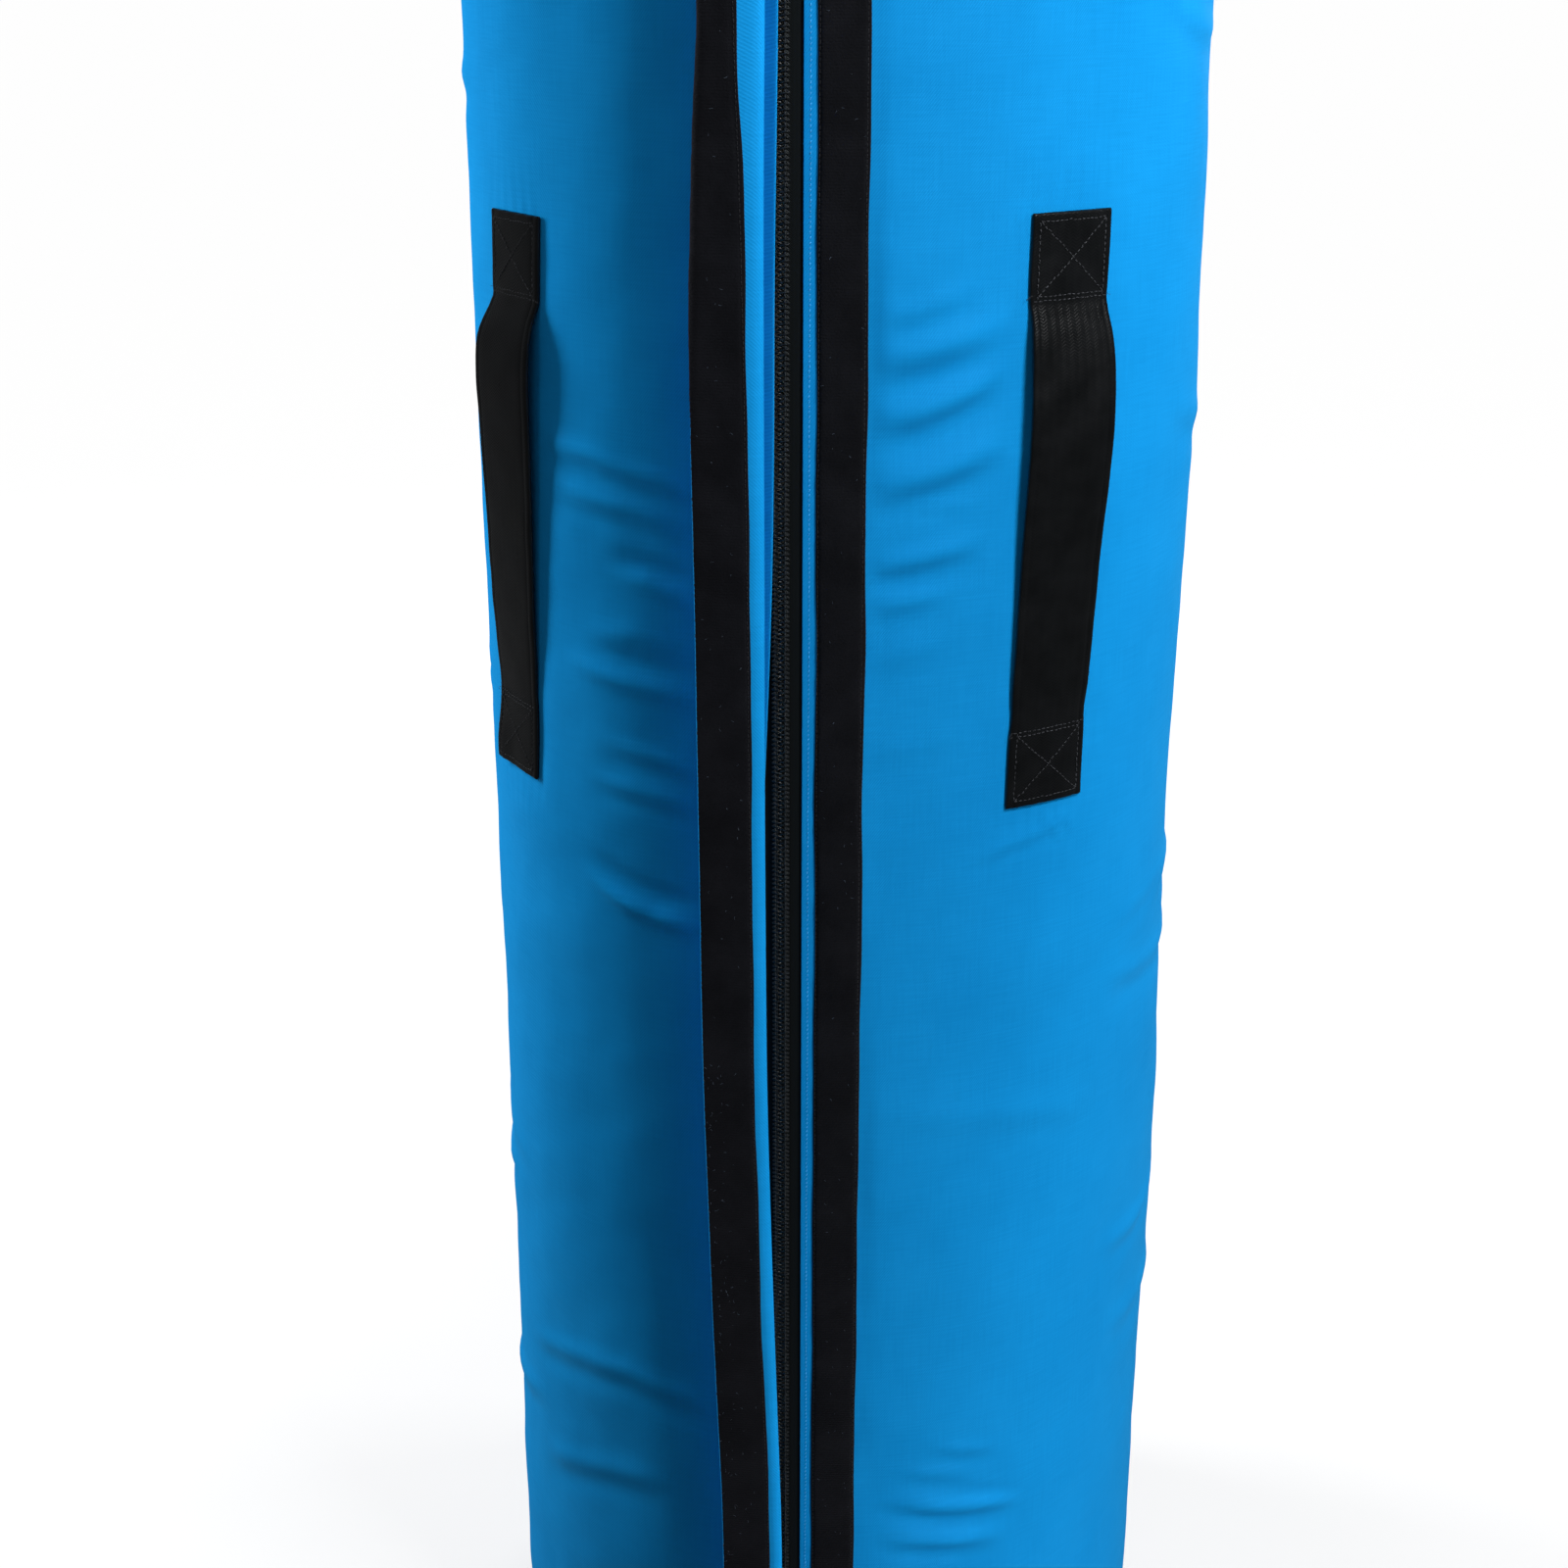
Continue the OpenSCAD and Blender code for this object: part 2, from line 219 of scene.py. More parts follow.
HANDLES = {
    "front_left": -48.0, "front_right": 42.0,
    "back_right": 132.0, "back_left": 222.0,
}
LEAN = {"front_left": 2.9, "front_right": 0.5, "back_right": -0.8, "back_left": 0.9}
ASIDE = {"front_left": -2.1, "front_right": 0.0, "back_right": 0.5, "back_left": -0.4}    # degrees
HIGHER = {"front_left": -2.5, "front_right": 4.5, "back_right": -1.5, "back_left": 2.0}   # mm
TILT = {"front_left": -0.11, "front_right": 0.11, "back_right": -0.06, "back_left": 0.07}
STRAP_W, STRAP_T, STRAP_L, STRAP_Z, SEWN = 50.0, 2.5, 313.0, 800.0, 45.0


def handle_arc(name, z):
    """Where the middle of a handle crosses the height z, as an arc in mm."""
    t = (np.asarray(z, float) - STRAP_Z) / (STRAP_L / 2)
    return wrap(math.radians(HANDLES[name] + ASIDE[name]) * R) + math.radians(LEAN[name]) * R * t


def cover_d(u, z):
    """How far the cover stands out from its nominal cylinder, in mm."""
    u, z = np.broadcast_arrays(wrap(u), np.asarray(z, float))
    calm = np.where(u > 0, smooth(u, 42, 54), smooth(-u, 26, 44))
    ends = smooth(z, 6, 70) * (1 - smooth(z, 1425, 1486))
    d = calm * ends * (0.75 * soft_low(u, z) + 0.26 * soft_mid(u, z) + 0.07 * soft_fine(u, z))
    d += 3.1 * calm * folds_at(u, z)
    # gathers at the end seams
    low = np.exp(-np.maximum(z - 7, 0) / 17.0)
    top = np.exp(-np.maximum(1485 - z, 0) / 17.0)
    d += (low + top) * 0.42 * np.abs(end_wave(u, z * 0.15)) * smooth(np.abs(u), 14, 30)
    d -= 0.9 * (np.exp(-np.maximum(z - 7, 0) / 9.0) + np.exp(-np.maximum(1485 - z, 0) / 9.0))
    # puckers along the zip seam
    side = np.exp(-((np.abs(u) - 15.5) / 2.6) ** 2)
    d += 0.12 * side * seam_wave(u * 0.2, z)
    d -= 0.16 * np.exp(-((np.abs(u) - 14.4) / 0.8) ** 2)
    # the sewn ends of the handles pull the cloth in and crease it
    for name in HANDLES:
        for end in (-1, 1):
            zc = STRAP_Z + end * (STRAP_L - SEWN) / 2
            du = wrap(u - handle_arc(name, zc))
            dz = z - zc - HIGHER[name]
            ring = np.exp(-((np.abs(du) - STRAP_W / 2) / 7.0) ** 2) * np.exp(-(dz / 26.0) ** 2)
            ring += np.exp(-((np.abs(dz) - SEWN / 2) / 7.0) ** 2) * np.exp(-(du / 27.0) ** 2)
            d -= 0.28 * ring
            out_dz = end * dz - SEWN / 2
            ray = np.exp(-np.maximum(out_dz, 0) / 16.0) * (out_dz > -4) * np.exp(-(du / 30.0) ** 2)
            d += 0.34 * ray * np.cos(du * (0.62 + 0.004 * out_dz) + end)
    d = d + 0.85 * calm * ends
    # the cloth lies quieter under the straps
    for name in HANDLES:
        du = wrap(u - handle_arc(name, z))
        under = np.exp(-(du / 31.0) ** 4) * (1 - smooth(np.abs(z - STRAP_Z - HIGHER[name]), 150, 185))
        d = np.where(d > 0, d * (1 - 0.8 * under), d)
    return np.where(d < 0, -1.15 * np.tanh(-d / 1.15), d)


def at(u, z, r):
    """3-D points in metres from arc u (mm, on the radius R), height z and radius r."""
    a = np.asarray(u, float) / R
    u, z, r = np.broadcast_arrays(a, z, r)
    return np.stack([r * np.sin(u), -r * np.cos(u), z], -1) * MM


def front(s, h, z):
    """3-D points in metres from the zip's own section: s to the right, h outwards."""
    s, h, z = np.broadcast_arrays(s, h, z)
    return np.stack([s, -(R + h), z], -1) * MM


# ------------------------------------------------------------------ meshes
def build(name, verts, faces, mat, uv=None, loop_uv=None, smooth_shade=True):
    """faces is a list of integer arrays, one per face size."""
    verts = np.ascontiguousarray(np.asarray(verts, np.float32).reshape(-1, 3))
    me = bpy.data.meshes.new(name)
    me.vertices.add(len(verts))
    me.vertices.foreach_set("co", verts.ravel())
    loops = np.concatenate([np.asarray(f, np.int32).reshape(-1) for f in faces])
    totals = np.concatenate([np.full(len(f), f.shape[1], np.int32) for f in faces])
    starts = np.concatenate([[0], np.cumsum(totals)[:-1]]).astype(np.int32)
    me.loops.add(len(loops))
    me.loops.foreach_set("vertex_index", loops)
    me.polygons.add(len(totals))
    me.polygons.foreach_set("loop_start", starts)
    me.polygons.foreach_set("use_smooth", np.full(len(totals), smooth_shade))
    me.update(calc_edges=True)
    layer = me.uv_layers.new(name="cloth")
    if loop_uv is None:
        loop_uv = np.asarray(uv, np.float32)[loops] if uv is not None else verts[loops][:, [0, 2]] * 1000
    layer.data.foreach_set("uv", np.ascontiguousarray(loop_uv, dtype=np.float32).ravel())
    if not name.startswith(("cover_wall", "cover_top_cloth", "base_panel", "floor")):
        bm = bmesh.new()                      # every face looks outwards
        bm.from_mesh(me)
        bmesh.ops.recalc_face_normals(bm, faces=bm.faces)
        bm.to_mesh(me)
        bm.free()
    me.materials.append(mat)
    ob = bpy.data.objects.new(name, me)
    scene.collection.objects.link(ob)
    return ob


def grid_faces(n, m, close_n=False, close_m=False, start=0):
    """Quads of an n x m grid whose vertex (i, j) is start + i*m + j."""
    i = np.arange(n if close_n else n - 1)
    j = np.arange(m if close_m else m - 1)
    I, J = np.meshgrid(i, j, indexing="ij")
    I2, J2 = (I + 1) % n, (J + 1) % m
    f = np.stack([I * m + J, I * m + J2, I2 * m + J2, I2 * m + J], -1).reshape(-1, 4)
    return f + start


class Parts:
    """Collects verts and faces of many small shapes into one mesh."""

    def __init__(self):
        self.v, self.f4, self.f3, self.uv, self.n = [], [], [], [], 0

    def add(self, v, quads=None, tris=None, uv=None):
        v = np.asarray(v, float).reshape(-1, 3)
        if quads is not None and len(quads):
            self.f4.append(np.asarray(quads) + self.n)
        if tris is not None and len(tris):
            self.f3.append(np.asarray(tris) + self.n)
        self.v.append(v)
        self.uv.append(np.zeros((len(v), 2)) if uv is None else np.asarray(uv, float).reshape(-1, 2))
        self.n += len(v)

    def done(self, name, mat, smooth_shade=True):
        faces = []
        if self.f4:
            faces.append(np.concatenate(self.f4))
        if self.f3:
            faces.append(np.concatenate(self.f3))
        return build(name, np.concatenate(self.v), faces, mat, uv=np.concatenate(self.uv),
                     smooth_shade=smooth_shade)


def capsules(parts, centre, along, up, length, radius, sides=5):
    """Stitches: small bowed capsules at each centre (metres)."""
    centre, along, up = (np.asarray(a, float).reshape(-1, 3) for a in (centre, along, up))
    n = len(centre)
    along = along / np.linalg.norm(along, axis=1, keepdims=True)
    up = up - along * (up * along).sum(1, keepdims=True)
    up = up / np.linalg.norm(up, axis=1, keepdims=True)
    side = np.cross(along, up)
    t = np.array([-0.5, -0.42, -0.18, 0.18, 0.42, 0.5])
    rr = np.array([0.35, 0.85, 1.0, 1.0, 0.85, 0.35])
    sink = np.array([-1.1, -0.45, 0.0, 0.0, -0.45, -1.1])
    a = np.linspace(0, TAU, sides, endpoint=False)
    L = np.broadcast_to(np.asarray(length, float), (n,))
    Rr = np.broadcast_to(np.asarray(radius, float), (n,))
    v = (centre[:, None, None, :]
         + along[:, None, None, :] * (t[None, :, None, None] * L[:, None, None, None])
         + up[:, None, None, :] * ((sink[None, :, None] + rr[None, :, None] * np.sin(a)[None, None, :])[..., None] * Rr[:, None, None, None])
         + side[:, None, None, :] * ((rr[None, :, None] * np.cos(a)[None, None, :])[..., None] * Rr[:, None, None, None]))
    k = len(t)
    one = grid_faces(k, sides, close_m=True)
    quads = (one[None] + (np.arange(n) * k * sides)[:, None, None]).reshape(-1, 4)
    caps = []
    c0 = np.arange(sides)
    for i in range(1, sides - 1):
        caps.append([c0[0], c0[i + 1], c0[i]])
        base = (k - 1) * sides
        caps.append([base + c0[0], base + c0[i], base + c0[i + 1]])
    tris = (np.array(caps)[None] + (np.arange(n) * k * sides)[:, None, None]).reshape(-1, 3)
    uv = np.broadcast_to((t[None, :, None] * L[:, None, None] * 1000), (n, k, sides))
    uvs = np.stack([uv, np.broadcast_to(a[None, None, :], (n, k, sides))], -1)
    parts.add(v.reshape(-1, 3), quads, tris, uvs.reshape(-1, 2))


def row_of_stitches(parts, line, ups, pitch, fill=0.78, radius=0.19, seed=0, jitter=0.12, slant=0.0):
    """Stitches along a fine polyline (metres), pitch in mm."""
    line, ups = np.asarray(line, float), np.asarray(ups, float)
    seg = np.linalg.norm(np.diff(line, axis=0), axis=1)
    dist = np.concatenate([[0], np.cumsum(seg)])
    n = max(1, int(dist[-1] * 1000 / pitch))
    mids = (np.arange(n) + 0.5) / n * dist[-1]
    rng = np.random.RandomState(seed)
    c = np.stack([np.interp(mids, dist, line[:, k]) for k in range(3)], -1)
    e = pitch * MM * 0.4
    ahead = np.stack([np.interp(np.minimum(mids + e, dist[-1]), dist, line[:, k]) for k in range(3)], -1)
    back = np.stack([np.interp(np.maximum(mids - e, 0), dist, line[:, k]) for k in range(3)], -1)
    u = np.stack([np.interp(mids, dist, ups[:, k]) for k in range(3)], -1)
    along = ahead - back
    side = np.cross(along, u)
    side /= np.linalg.norm(side, axis=1, keepdims=True)
    along = along / np.linalg.norm(along, axis=1, keepdims=True)
    along = along + side * (slant + rng.normal(0, 0.07, (n, 1)))
    c = c + side * rng.normal(0, jitter * 0.5, (n, 1)) * MM
    capsules(parts, c, along, u, pitch * fill * MM * rng.uniform(0.92, 1.06, n), radius * MM * rng.uniform(0.9, 1.1, n))


def tube(parts, path, radius, sides=6, squash=1.0, caps=True):
    """A tube along a path in metres; radius may vary."""
    path = np.asarray(path, float)
    n = len(path)
    tan = np.gradient(path, axis=0)
    tan /= np.maximum(np.linalg.norm(tan, axis=1, keepdims=True), 1e-12)
    ref = np.array([0.0, 0.0, 1.0]) if abs(tan[0][2]) < 0.8 else np.array([1.0, 0.0, 0.0])
    nrm = np.cross(tan, ref)
    nrm /= np.maximum(np.linalg.norm(nrm, axis=1, keepdims=True), 1e-12)
    bi = np.cross(tan, nrm)
    a = np.linspace(0, TAU, sides, endpoint=False)
    rad = np.broadcast_to(np.asarray(radius, float), (n,))
    v = path[:, None] + rad[:, None, None] * (np.cos(a)[None, :, None] * nrm[:, None] + squash * np.sin(a)[None, :, None] * bi[:, None])
    f = grid_faces(n, sides, close_m=True)
    tris = []
    if caps:
        for i in range(1, sides - 1):
            tris += [[0, i + 1, i], [(n - 1) * sides, (n - 1) * sides + i, (n - 1) * sides + i + 1]]
    dist = np.concatenate([[0], np.cumsum(np.linalg.norm(np.diff(path, axis=0), axis=1))]) * 1000
    uv = np.stack([np.broadcast_to(dist[:, None], (n, sides)), np.broadcast_to(a[None] * 0.4, (n, sides))], -1)
    parts.add(v.reshape(-1, 3), f, tris, uv.reshape(-1, 2))


def spline(points, n):
    """A smooth line through the points, n samples at even distances."""
    p = np.asarray(points, float)
    q = np.vstack([2 * p[0] - p[1], p, 2 * p[-1] - p[-2]])
    out = []
    for i in range(1, len(q) - 2):
        t = np.linspace(0, 1, 16, endpoint=False)[:, None]
        a, b, c, d = q[i - 1], q[i], q[i + 1], q[i + 2]
        out.append(0.5 * (2 * b + (c - a) * t + (2 * a - 5 * b + 4 * c - d) * t ** 2 + (3 * b - a - 3 * c + d) * t ** 3))
    out = np.vstack(out + [p[-1:]])
    dist = np.concatenate([[0], np.cumsum(np.linalg.norm(np.diff(out, axis=0), axis=1))])
    w = np.linspace(0, dist[-1], n)
    return np.stack([np.interp(w, dist, out[:, k]) for k in range(out.shape[1])], -1)


# ------------------------------------------------------------------ materials
class Mat:
    def __init__(self, name):
        self.m = bpy.data.materials.new(name)
        self.m.use_nodes = True
        self.nt = self.m.node_tree
        self.nt.nodes.clear()
        self.out = self.nt.nodes.new("ShaderNodeOutputMaterial")
        self.b = self.nt.nodes.new("ShaderNodeBsdfPrincipled")
        self.nt.links.new(self.b.outputs[0], self.out.inputs[0])

    def n(self, kind, **props):
        node = self.nt.nodes.new("ShaderNode" + kind)
        for k, v in props.items():
            setattr(node, k, v)
        return node

    def put(self, socket, value):
        if hasattr(value, "links") or hasattr(value, "is_linked"):
            self.nt.links.new(value, socket)
        elif isinstance(value, (tuple, list)) and len(value) == 3 and socket.type == "RGBA":
            socket.default_value = (*value, 1.0)
        else:
            socket.default_value = value

    def math(self, op, a, b=0.0, c=0.0, clamp=False):
        node = self.n("Math", operation=op, use_clamp=clamp)
        self.put(node.inputs[0], a)
        self.put(node.inputs[1], b)
        if op in ("MULTIPLY_ADD", "COMPARE", "SMOOTH_MIN", "SMOOTH_MAX"):
            self.put(node.inputs[2], c)
        return node.outputs[0]

    def uv(self):
        return self.n("UVMap", uv_map="cloth").outputs[0]

    def obj(self):
        return self.n("TexCoord").outputs["Object"]

    def map(self, vec, scale=(1, 1, 1), rot=(0, 0, 0), loc=(0, 0, 0)):
        node = self.n("Mapping")
        self.put(node.inputs["Vector"], vec)
        node.inputs["Scale"].default_value = scale
        node.inputs["Rotation"].default_value = rot
        node.inputs["Location"].default_value = loc
        return node.outputs[0]

    def noise(self, vec, scale, detail=2.0, rough=0.5, distort=0.0):
        node = self.n("TexNoise")
        self.put(node.inputs["Vector"], vec)
        node.inputs["Scale"].default_value = scale
        node.inputs["Detail"].default_value = detail
        node.inputs["Roughness"].default_value = rough
        node.inputs["Distortion"].default_value = distort
        return node.outputs["Fac"]

    def wave(self, vec, period, distort=0.0, dscale=1.0, detail=1.0, direction="X", profile="SIN"):
        node = self.n("TexWave", wave_type="BANDS", bands_direction=direction, wave_profile=profile)
        self.put(node.inputs["Vector"], vec)
        node.inputs["Scale"].default_value = (TAU / 20.0) / period
        node.inputs["Distortion"].default_value = distort
        node.inputs["Detail"].default_value = detail
        node.inputs["Detail Scale"].default_value = dscale
        return node.outputs["Fac"]

    def voronoi(self, vec, scale, feature="F1", rand=1.0):
        node = self.n("TexVoronoi", feature=feature)
        self.put(node.inputs["Vector"], vec)
        node.inputs["Scale"].default_value = scale
        node.inputs["Randomness"].default_value = rand
        return node.outputs["Distance"]

    def ramp(self, fac, stops):
        node = self.n("ValToRGB")
        self.put(node.inputs[0], fac)
        els = node.color_ramp.elements
        while len(els) < len(stops):
            els.new(0.5)
        for e, (p, c) in zip(els, stops):
            e.position = p
            e.color = (*c, 1.0) if len(c) == 3 else c
        return node.outputs[0]

    def remap(self, value, a, b, c, d):
        node = self.n("MapRange")
        self.put(node.inputs[0], value)
        for i, x in zip((1, 2, 3, 4), (a, b, c, d)):
            node.inputs[i].default_value = x
        return node.outputs[0]

    def mix(self, fac, a, b, mode="MIX"):
        node = self.n("Mix", data_type="RGBA", blend_type=mode)
        self.put(node.inputs[0], fac)
        self.put(node.inputs[6], a)
        self.put(node.inputs[7], b)
        return node.outputs[2]

    def bump(self, height, strength, distance, normal=None):
        node = self.n("Bump")
        self.put(node.inputs["Height"], height)
        node.inputs["Strength"].default_value = strength
        node.inputs["Distance"].default_value = distance
        if normal is not None:
            self.put(node.inputs["Normal"], normal)
        return node.outputs[0]

    def set(self, **values):
        for k, v in values.items():
            self.put(self.b.inputs[k.replace("_", " ")], v)
        return self


def cover_cloth(name, deep, light, pitch=1.15, sheen=0.10):
    """Coated polyester twill: fine diagonal ribs whose colour is lighter where they stand high, slubs and a slow change
    of tone.
    """
    m = Mat(name)
    uv = m.uv()
    twill = m.wave(m.map(uv, rot=(0, 0, math.radians(38))), pitch, 0.55, 0.5, 1.0)
    yarn = m.wave(m.map(uv, rot=(0, 0, math.radians(-52))), pitch * 0.62, 0.7, 0.6, 1.0)
    cell = m.math("MULTIPLY", twill, m.remap(yarn, 0, 1, 0.55, 1.0))
    slub = m.noise(m.map(uv, scale=(0.035, 0.9, 1)), 1.0, 3.0, 0.6)
    slub2 = m.noise(m.map(uv, scale=(0.8, 0.03, 1)), 1.0, 3.0, 0.6)
    broad = m.noise(uv, 0.012, 3.0, 0.55)
    grain = m.noise(uv, 1.7, 2.0, 0.6)
    tone = m.math("ADD", m.remap(broad, 0.3, 0.7, 0.40, 0.60),
                  m.math("ADD", m.remap(slub, 0.3, 0.7, -0.10, 0.10), m.remap(slub2, 0.3, 0.7, -0.08, 0.08)))
    tone = m.math("ADD", tone, m.remap(cell, 0.0, 1.0, -0.22, 0.18))
    tone = m.math("ADD", tone, m.remap(grain, 0.3, 0.7, -0.06, 0.06), clamp=True)
    colour = m.mix(tone, deep, light)
    height = m.math("ADD", m.math("MULTIPLY", cell, 1.0), m.math("MULTIPLY", slub, 0.5))
    height = m.math("ADD", height, m.math("MULTIPLY", grain, 0.25))
    m.set(Base_Color=colour, Roughness=m.remap(tone, 0, 1, 0.74, 0.64),
          Normal=m.bump(height, 0.5, 0.00011))
    m.set(Sheen_Weight=sheen, Sheen_Roughness=0.4, Sheen_Tint=(0.12, 0.62, 1.0), Specular_IOR_Level=0.06)
    return m.m


def pile_cloth(name, base, fleck, scale, rough=0.85, depth=0.0004, bump=0.8):
    """Hook or loop pile: a dense felted surface with small clumps and lint."""
    m = Mat(name)
    uv = m.uv()
    clumps = m.voronoi(m.map(uv, scale=(1, 1, 1)), scale)
    fuzz = m.noise(uv, scale * 2.3, 4.0, 0.7, 0.4)
    rows = m.wave(uv, 1.5, 1.2, 0.8, 2.0, direction="Y")
    wear = m.noise(uv, 0.03, 3.0, 0.6)
    height = m.math("ADD", m.math("MULTIPLY", m.math("SUBTRACT", 1.0, clumps), 0.7), m.math("MULTIPLY", fuzz, 0.8))
    height = m.math("ADD", height, m.math("MULTIPLY", rows, 0.25))
    tone = m.math("ADD", m.remap(fuzz, 0.35, 0.75, 0.0, 0.55), m.remap(wear, 0.35, 0.7, -0.15, 0.3), clamp=True)
    m.set(Base_Color=m.mix(tone, base, fleck), Roughness=m.remap(fuzz, 0.3, 0.7, rough, 1.0),
          Normal=m.bump(height, bump, depth))
    m.set(Sheen_Weight=0.05, Sheen_Roughness=0.5, Sheen_Tint=(0.75, 0.78, 0.9), Specular_IOR_Level=0.10)
    return m.m


def webbing_cloth(name, base, light, rib=1.35):
    """Woven nylon webbing: chevron ribs that run across the strap, glossy floats, dull worn ones."""
    m = Mat(name)
    uv = m.uv()
    left = m.wave(m.map(uv, rot=(0, 0, math.radians(58))), rib, 0.35, 0.6)
    right = m.wave(m.map(uv, rot=(0, 0, math.radians(-58))), rib, 0.35, 0.6)
    fold = m.wave(uv, 5.2, 0.0, 1.0, 0.0)
    side = m.remap(fold, 0.46, 0.54, 0.0, 1.0)
    chev = m.math("ADD", m.math("MULTIPLY", left, side),
                  m.math("MULTIPLY", right, m.math("SUBTRACT", 1.0, side)))
    warp = m.wave(uv, 0.62, 0.5, 0.8)
    fuzz = m.noise(uv, 2.2, 3.0, 0.65)
    wear = m.noise(uv, 0.05, 4.0, 0.6)
    height = m.math("ADD", chev, m.math("MULTIPLY", warp, 0.35))
    height = m.math("ADD", height, m.math("MULTIPLY", fuzz, 0.25))
    tone = m.math("ADD", m.remap(chev, 0, 1, 0.0, 0.35), m.remap(wear, 0.35, 0.75, -0.05, 0.5), clamp=True)
    m.set(Base_Color=m.mix(tone, base, light), Roughness=m.remap(wear, 0.3, 0.75, 0.27, 0.42),
          Normal=m.bump(height, 0.50, 0.00014))
    m.set(Sheen_Weight=0.004, Sheen_Roughness=0.4, Sheen_Tint=(0.8, 0.85, 1.0), Specular_IOR_Level=0.31)
    return m.m


def tape_cloth(name):
    m = Mat(name)
    uv = m.uv()
    left = m.wave(m.map(uv, rot=(0, 0, math.radians(50))), 0.85, 0.3, 0.6)
    right = m.wave(m.map(uv, rot=(0, 0, math.radians(-50))), 0.85, 0.3, 0.6)
    side = m.remap(m.wave(uv, 4.4, 0.0, 1.0, 0.0), 0.45, 0.55, 0.0, 1.0)
    chev = m.math("ADD", m.math("MULTIPLY", left, side),
                  m.math("MULTIPLY", right, m.math("SUBTRACT", 1.0, side)))
    fuzz = m.noise(uv, 2.5, 3.0, 0.6)
    m.set(Base_Color=m.mix(m.math("MULTIPLY", chev, fuzz), (0.0010, 0.0017, 0.0019), (0.006, 0.0085, 0.0095)),
          Roughness=m.remap(fuzz, 0.3, 0.7, 0.62, 0.82), Normal=m.bump(m.math("ADD", chev, fuzz), 0.7, 0.00012))
    m.set(Sheen_Weight=0.03, Sheen_Roughness=0.5, Sheen_Tint=(0.8, 0.9, 1.0), Specular_IOR_Level=0.15)
    return m.m


def thread(name, dark, light, rough=0.5):
    m = Mat(name)
    uv = m.uv()
    twist = m.wave(m.map(uv, rot=(0, 0, math.radians(35))), 0.34, 0.1, 1.0)
    age = m.noise(m.obj(), 60.0, 2.0)
    m.set(Base_Color=m.mix(m.math("MULTIPLY", twist, m.remap(age, 0.3, 0.7, 0.6, 1.0)), dark, light),
          Roughness=m.remap(age, 0.3, 0.7, rough, rough + 0.15), Normal=m.bump(twist, 0.6, 0.00006))
    m.set(Sheen_Weight=0.06, Sheen_Roughness=0.4, Sheen_Tint=(1.0, 1.0, 1.0), Specular_IOR_Level=0.3)
    return m.m


def nylon(name, dark, light):
    """Moulded coil: glossy monofilament with fine draw marks and dust."""
    m = Mat(name)
    co = m.obj()
    marks = m.noise(m.map(m.uv(), scale=(0.3, 5, 1)), 1.2, 3.0, 0.6)
    dust = m.noise(co, 700.0, 3.0, 0.65)
    m.set(Base_Color=m.mix(m.remap(dust, 0.45, 0.8, 0.0, 1.0), dark, light),
          Roughness=m.remap(dust, 0.35, 0.75, 0.26, 0.55), Normal=m.bump(marks, 0.25, 0.00004))
    m.set(Specular_IOR_Level=0.5)
    return m.m


def metal(name):
    """Painted zinc casting: fine orange peel, rubbed bright on edges and high spots."""
    m = Mat(name)
    co = m.obj()
    peel = m.noise(co, 1500.0, 2.0, 0.5)
    rub = m.noise(co, 260.0, 5.0, 0.7)
    geo = m.n("NewGeometry")
    edge = m.remap(geo.outputs["Pointiness"], 0.53, 0.60, 0.0, 1.0)
    bare = m.math("MULTIPLY", edge, m.remap(rub, 0.42, 0.60, 0.0, 1.0), clamp=True)
    m.set(Base_Color=m.mix(bare, (0.018, 0.019, 0.022), (0.42, 0.42, 0.44)),
          Metallic=m.remap(bare, 0, 1, 0.35, 1.0),
          Roughness=m.remap(rub, 0.3, 0.7, 0.30, 0.48), Normal=m.bump(peel, 0.22, 0.00005))
    m.set(Specular_IOR_Level=0.5)
    return m.m


def vinyl(name, dark, light):
    """Pebbled PVC with scuffs."""
    m = Mat(name)
    co = m.obj()
    peb = m.voronoi(co, 620.0)
    peb2 = m.voronoi(co, 1100.0)
    scuff = m.noise(m.map(co, scale=(1, 4, 1)), 26.0, 6.0, 0.65)
    height = m.math("ADD", peb, m.math("MULTIPLY", peb2, 0.4))
    m.set(Base_Color=m.mix(m.remap(scuff, 0.5, 0.72, 0.0, 1.0), dark, light),
          Roughness=m.remap(scuff, 0.35, 0.7, 0.42, 0.68), Normal=m.bump(height, 0.6, 0.0004))
    m.set(Specular_IOR_Level=0.45)
    return m.m


def foam(name, a, b, cell=260.0):
    m = Mat(name)
    co = m.obj()
    v = m.voronoi(co, cell)
    n = m.noise(co, 30.0, 4.0, 0.6)
    m.set(Base_Color=m.mix(m.math("MULTIPLY", v, n), a, b), Roughness=m.remap(n, 0.3, 0.7, 0.85, 1.0),
          Normal=m.bump(v, 0.8, 0.001))
    m.set(Specular_IOR_Level=0.2)
    return m.m


def wood(name):
    m = Mat(name)
    co = m.obj()
    rings = m.wave(m.map(co, scale=(1, 0.12, 1)), 0.006, 6.0, 2.0, 3.0)
    ply = m.wave(co, 0.0024, 0.3, 1.0, 1.0, direction="Z")
    pore = m.noise(m.map(co, scale=(400, 30, 400)), 1.0, 3.0, 0.6)
    t = m.math("MULTIPLY", m.math("ADD", rings, ply), 0.5)
    m.set(Base_Color=m.mix(t, (0.42, 0.27, 0.13), (0.66, 0.49, 0.29)), Roughness=m.remap(pore, 0.3, 0.7, 0.5, 0.7),
          Normal=m.bump(pore, 0.3, 0.0003))
    return m.m


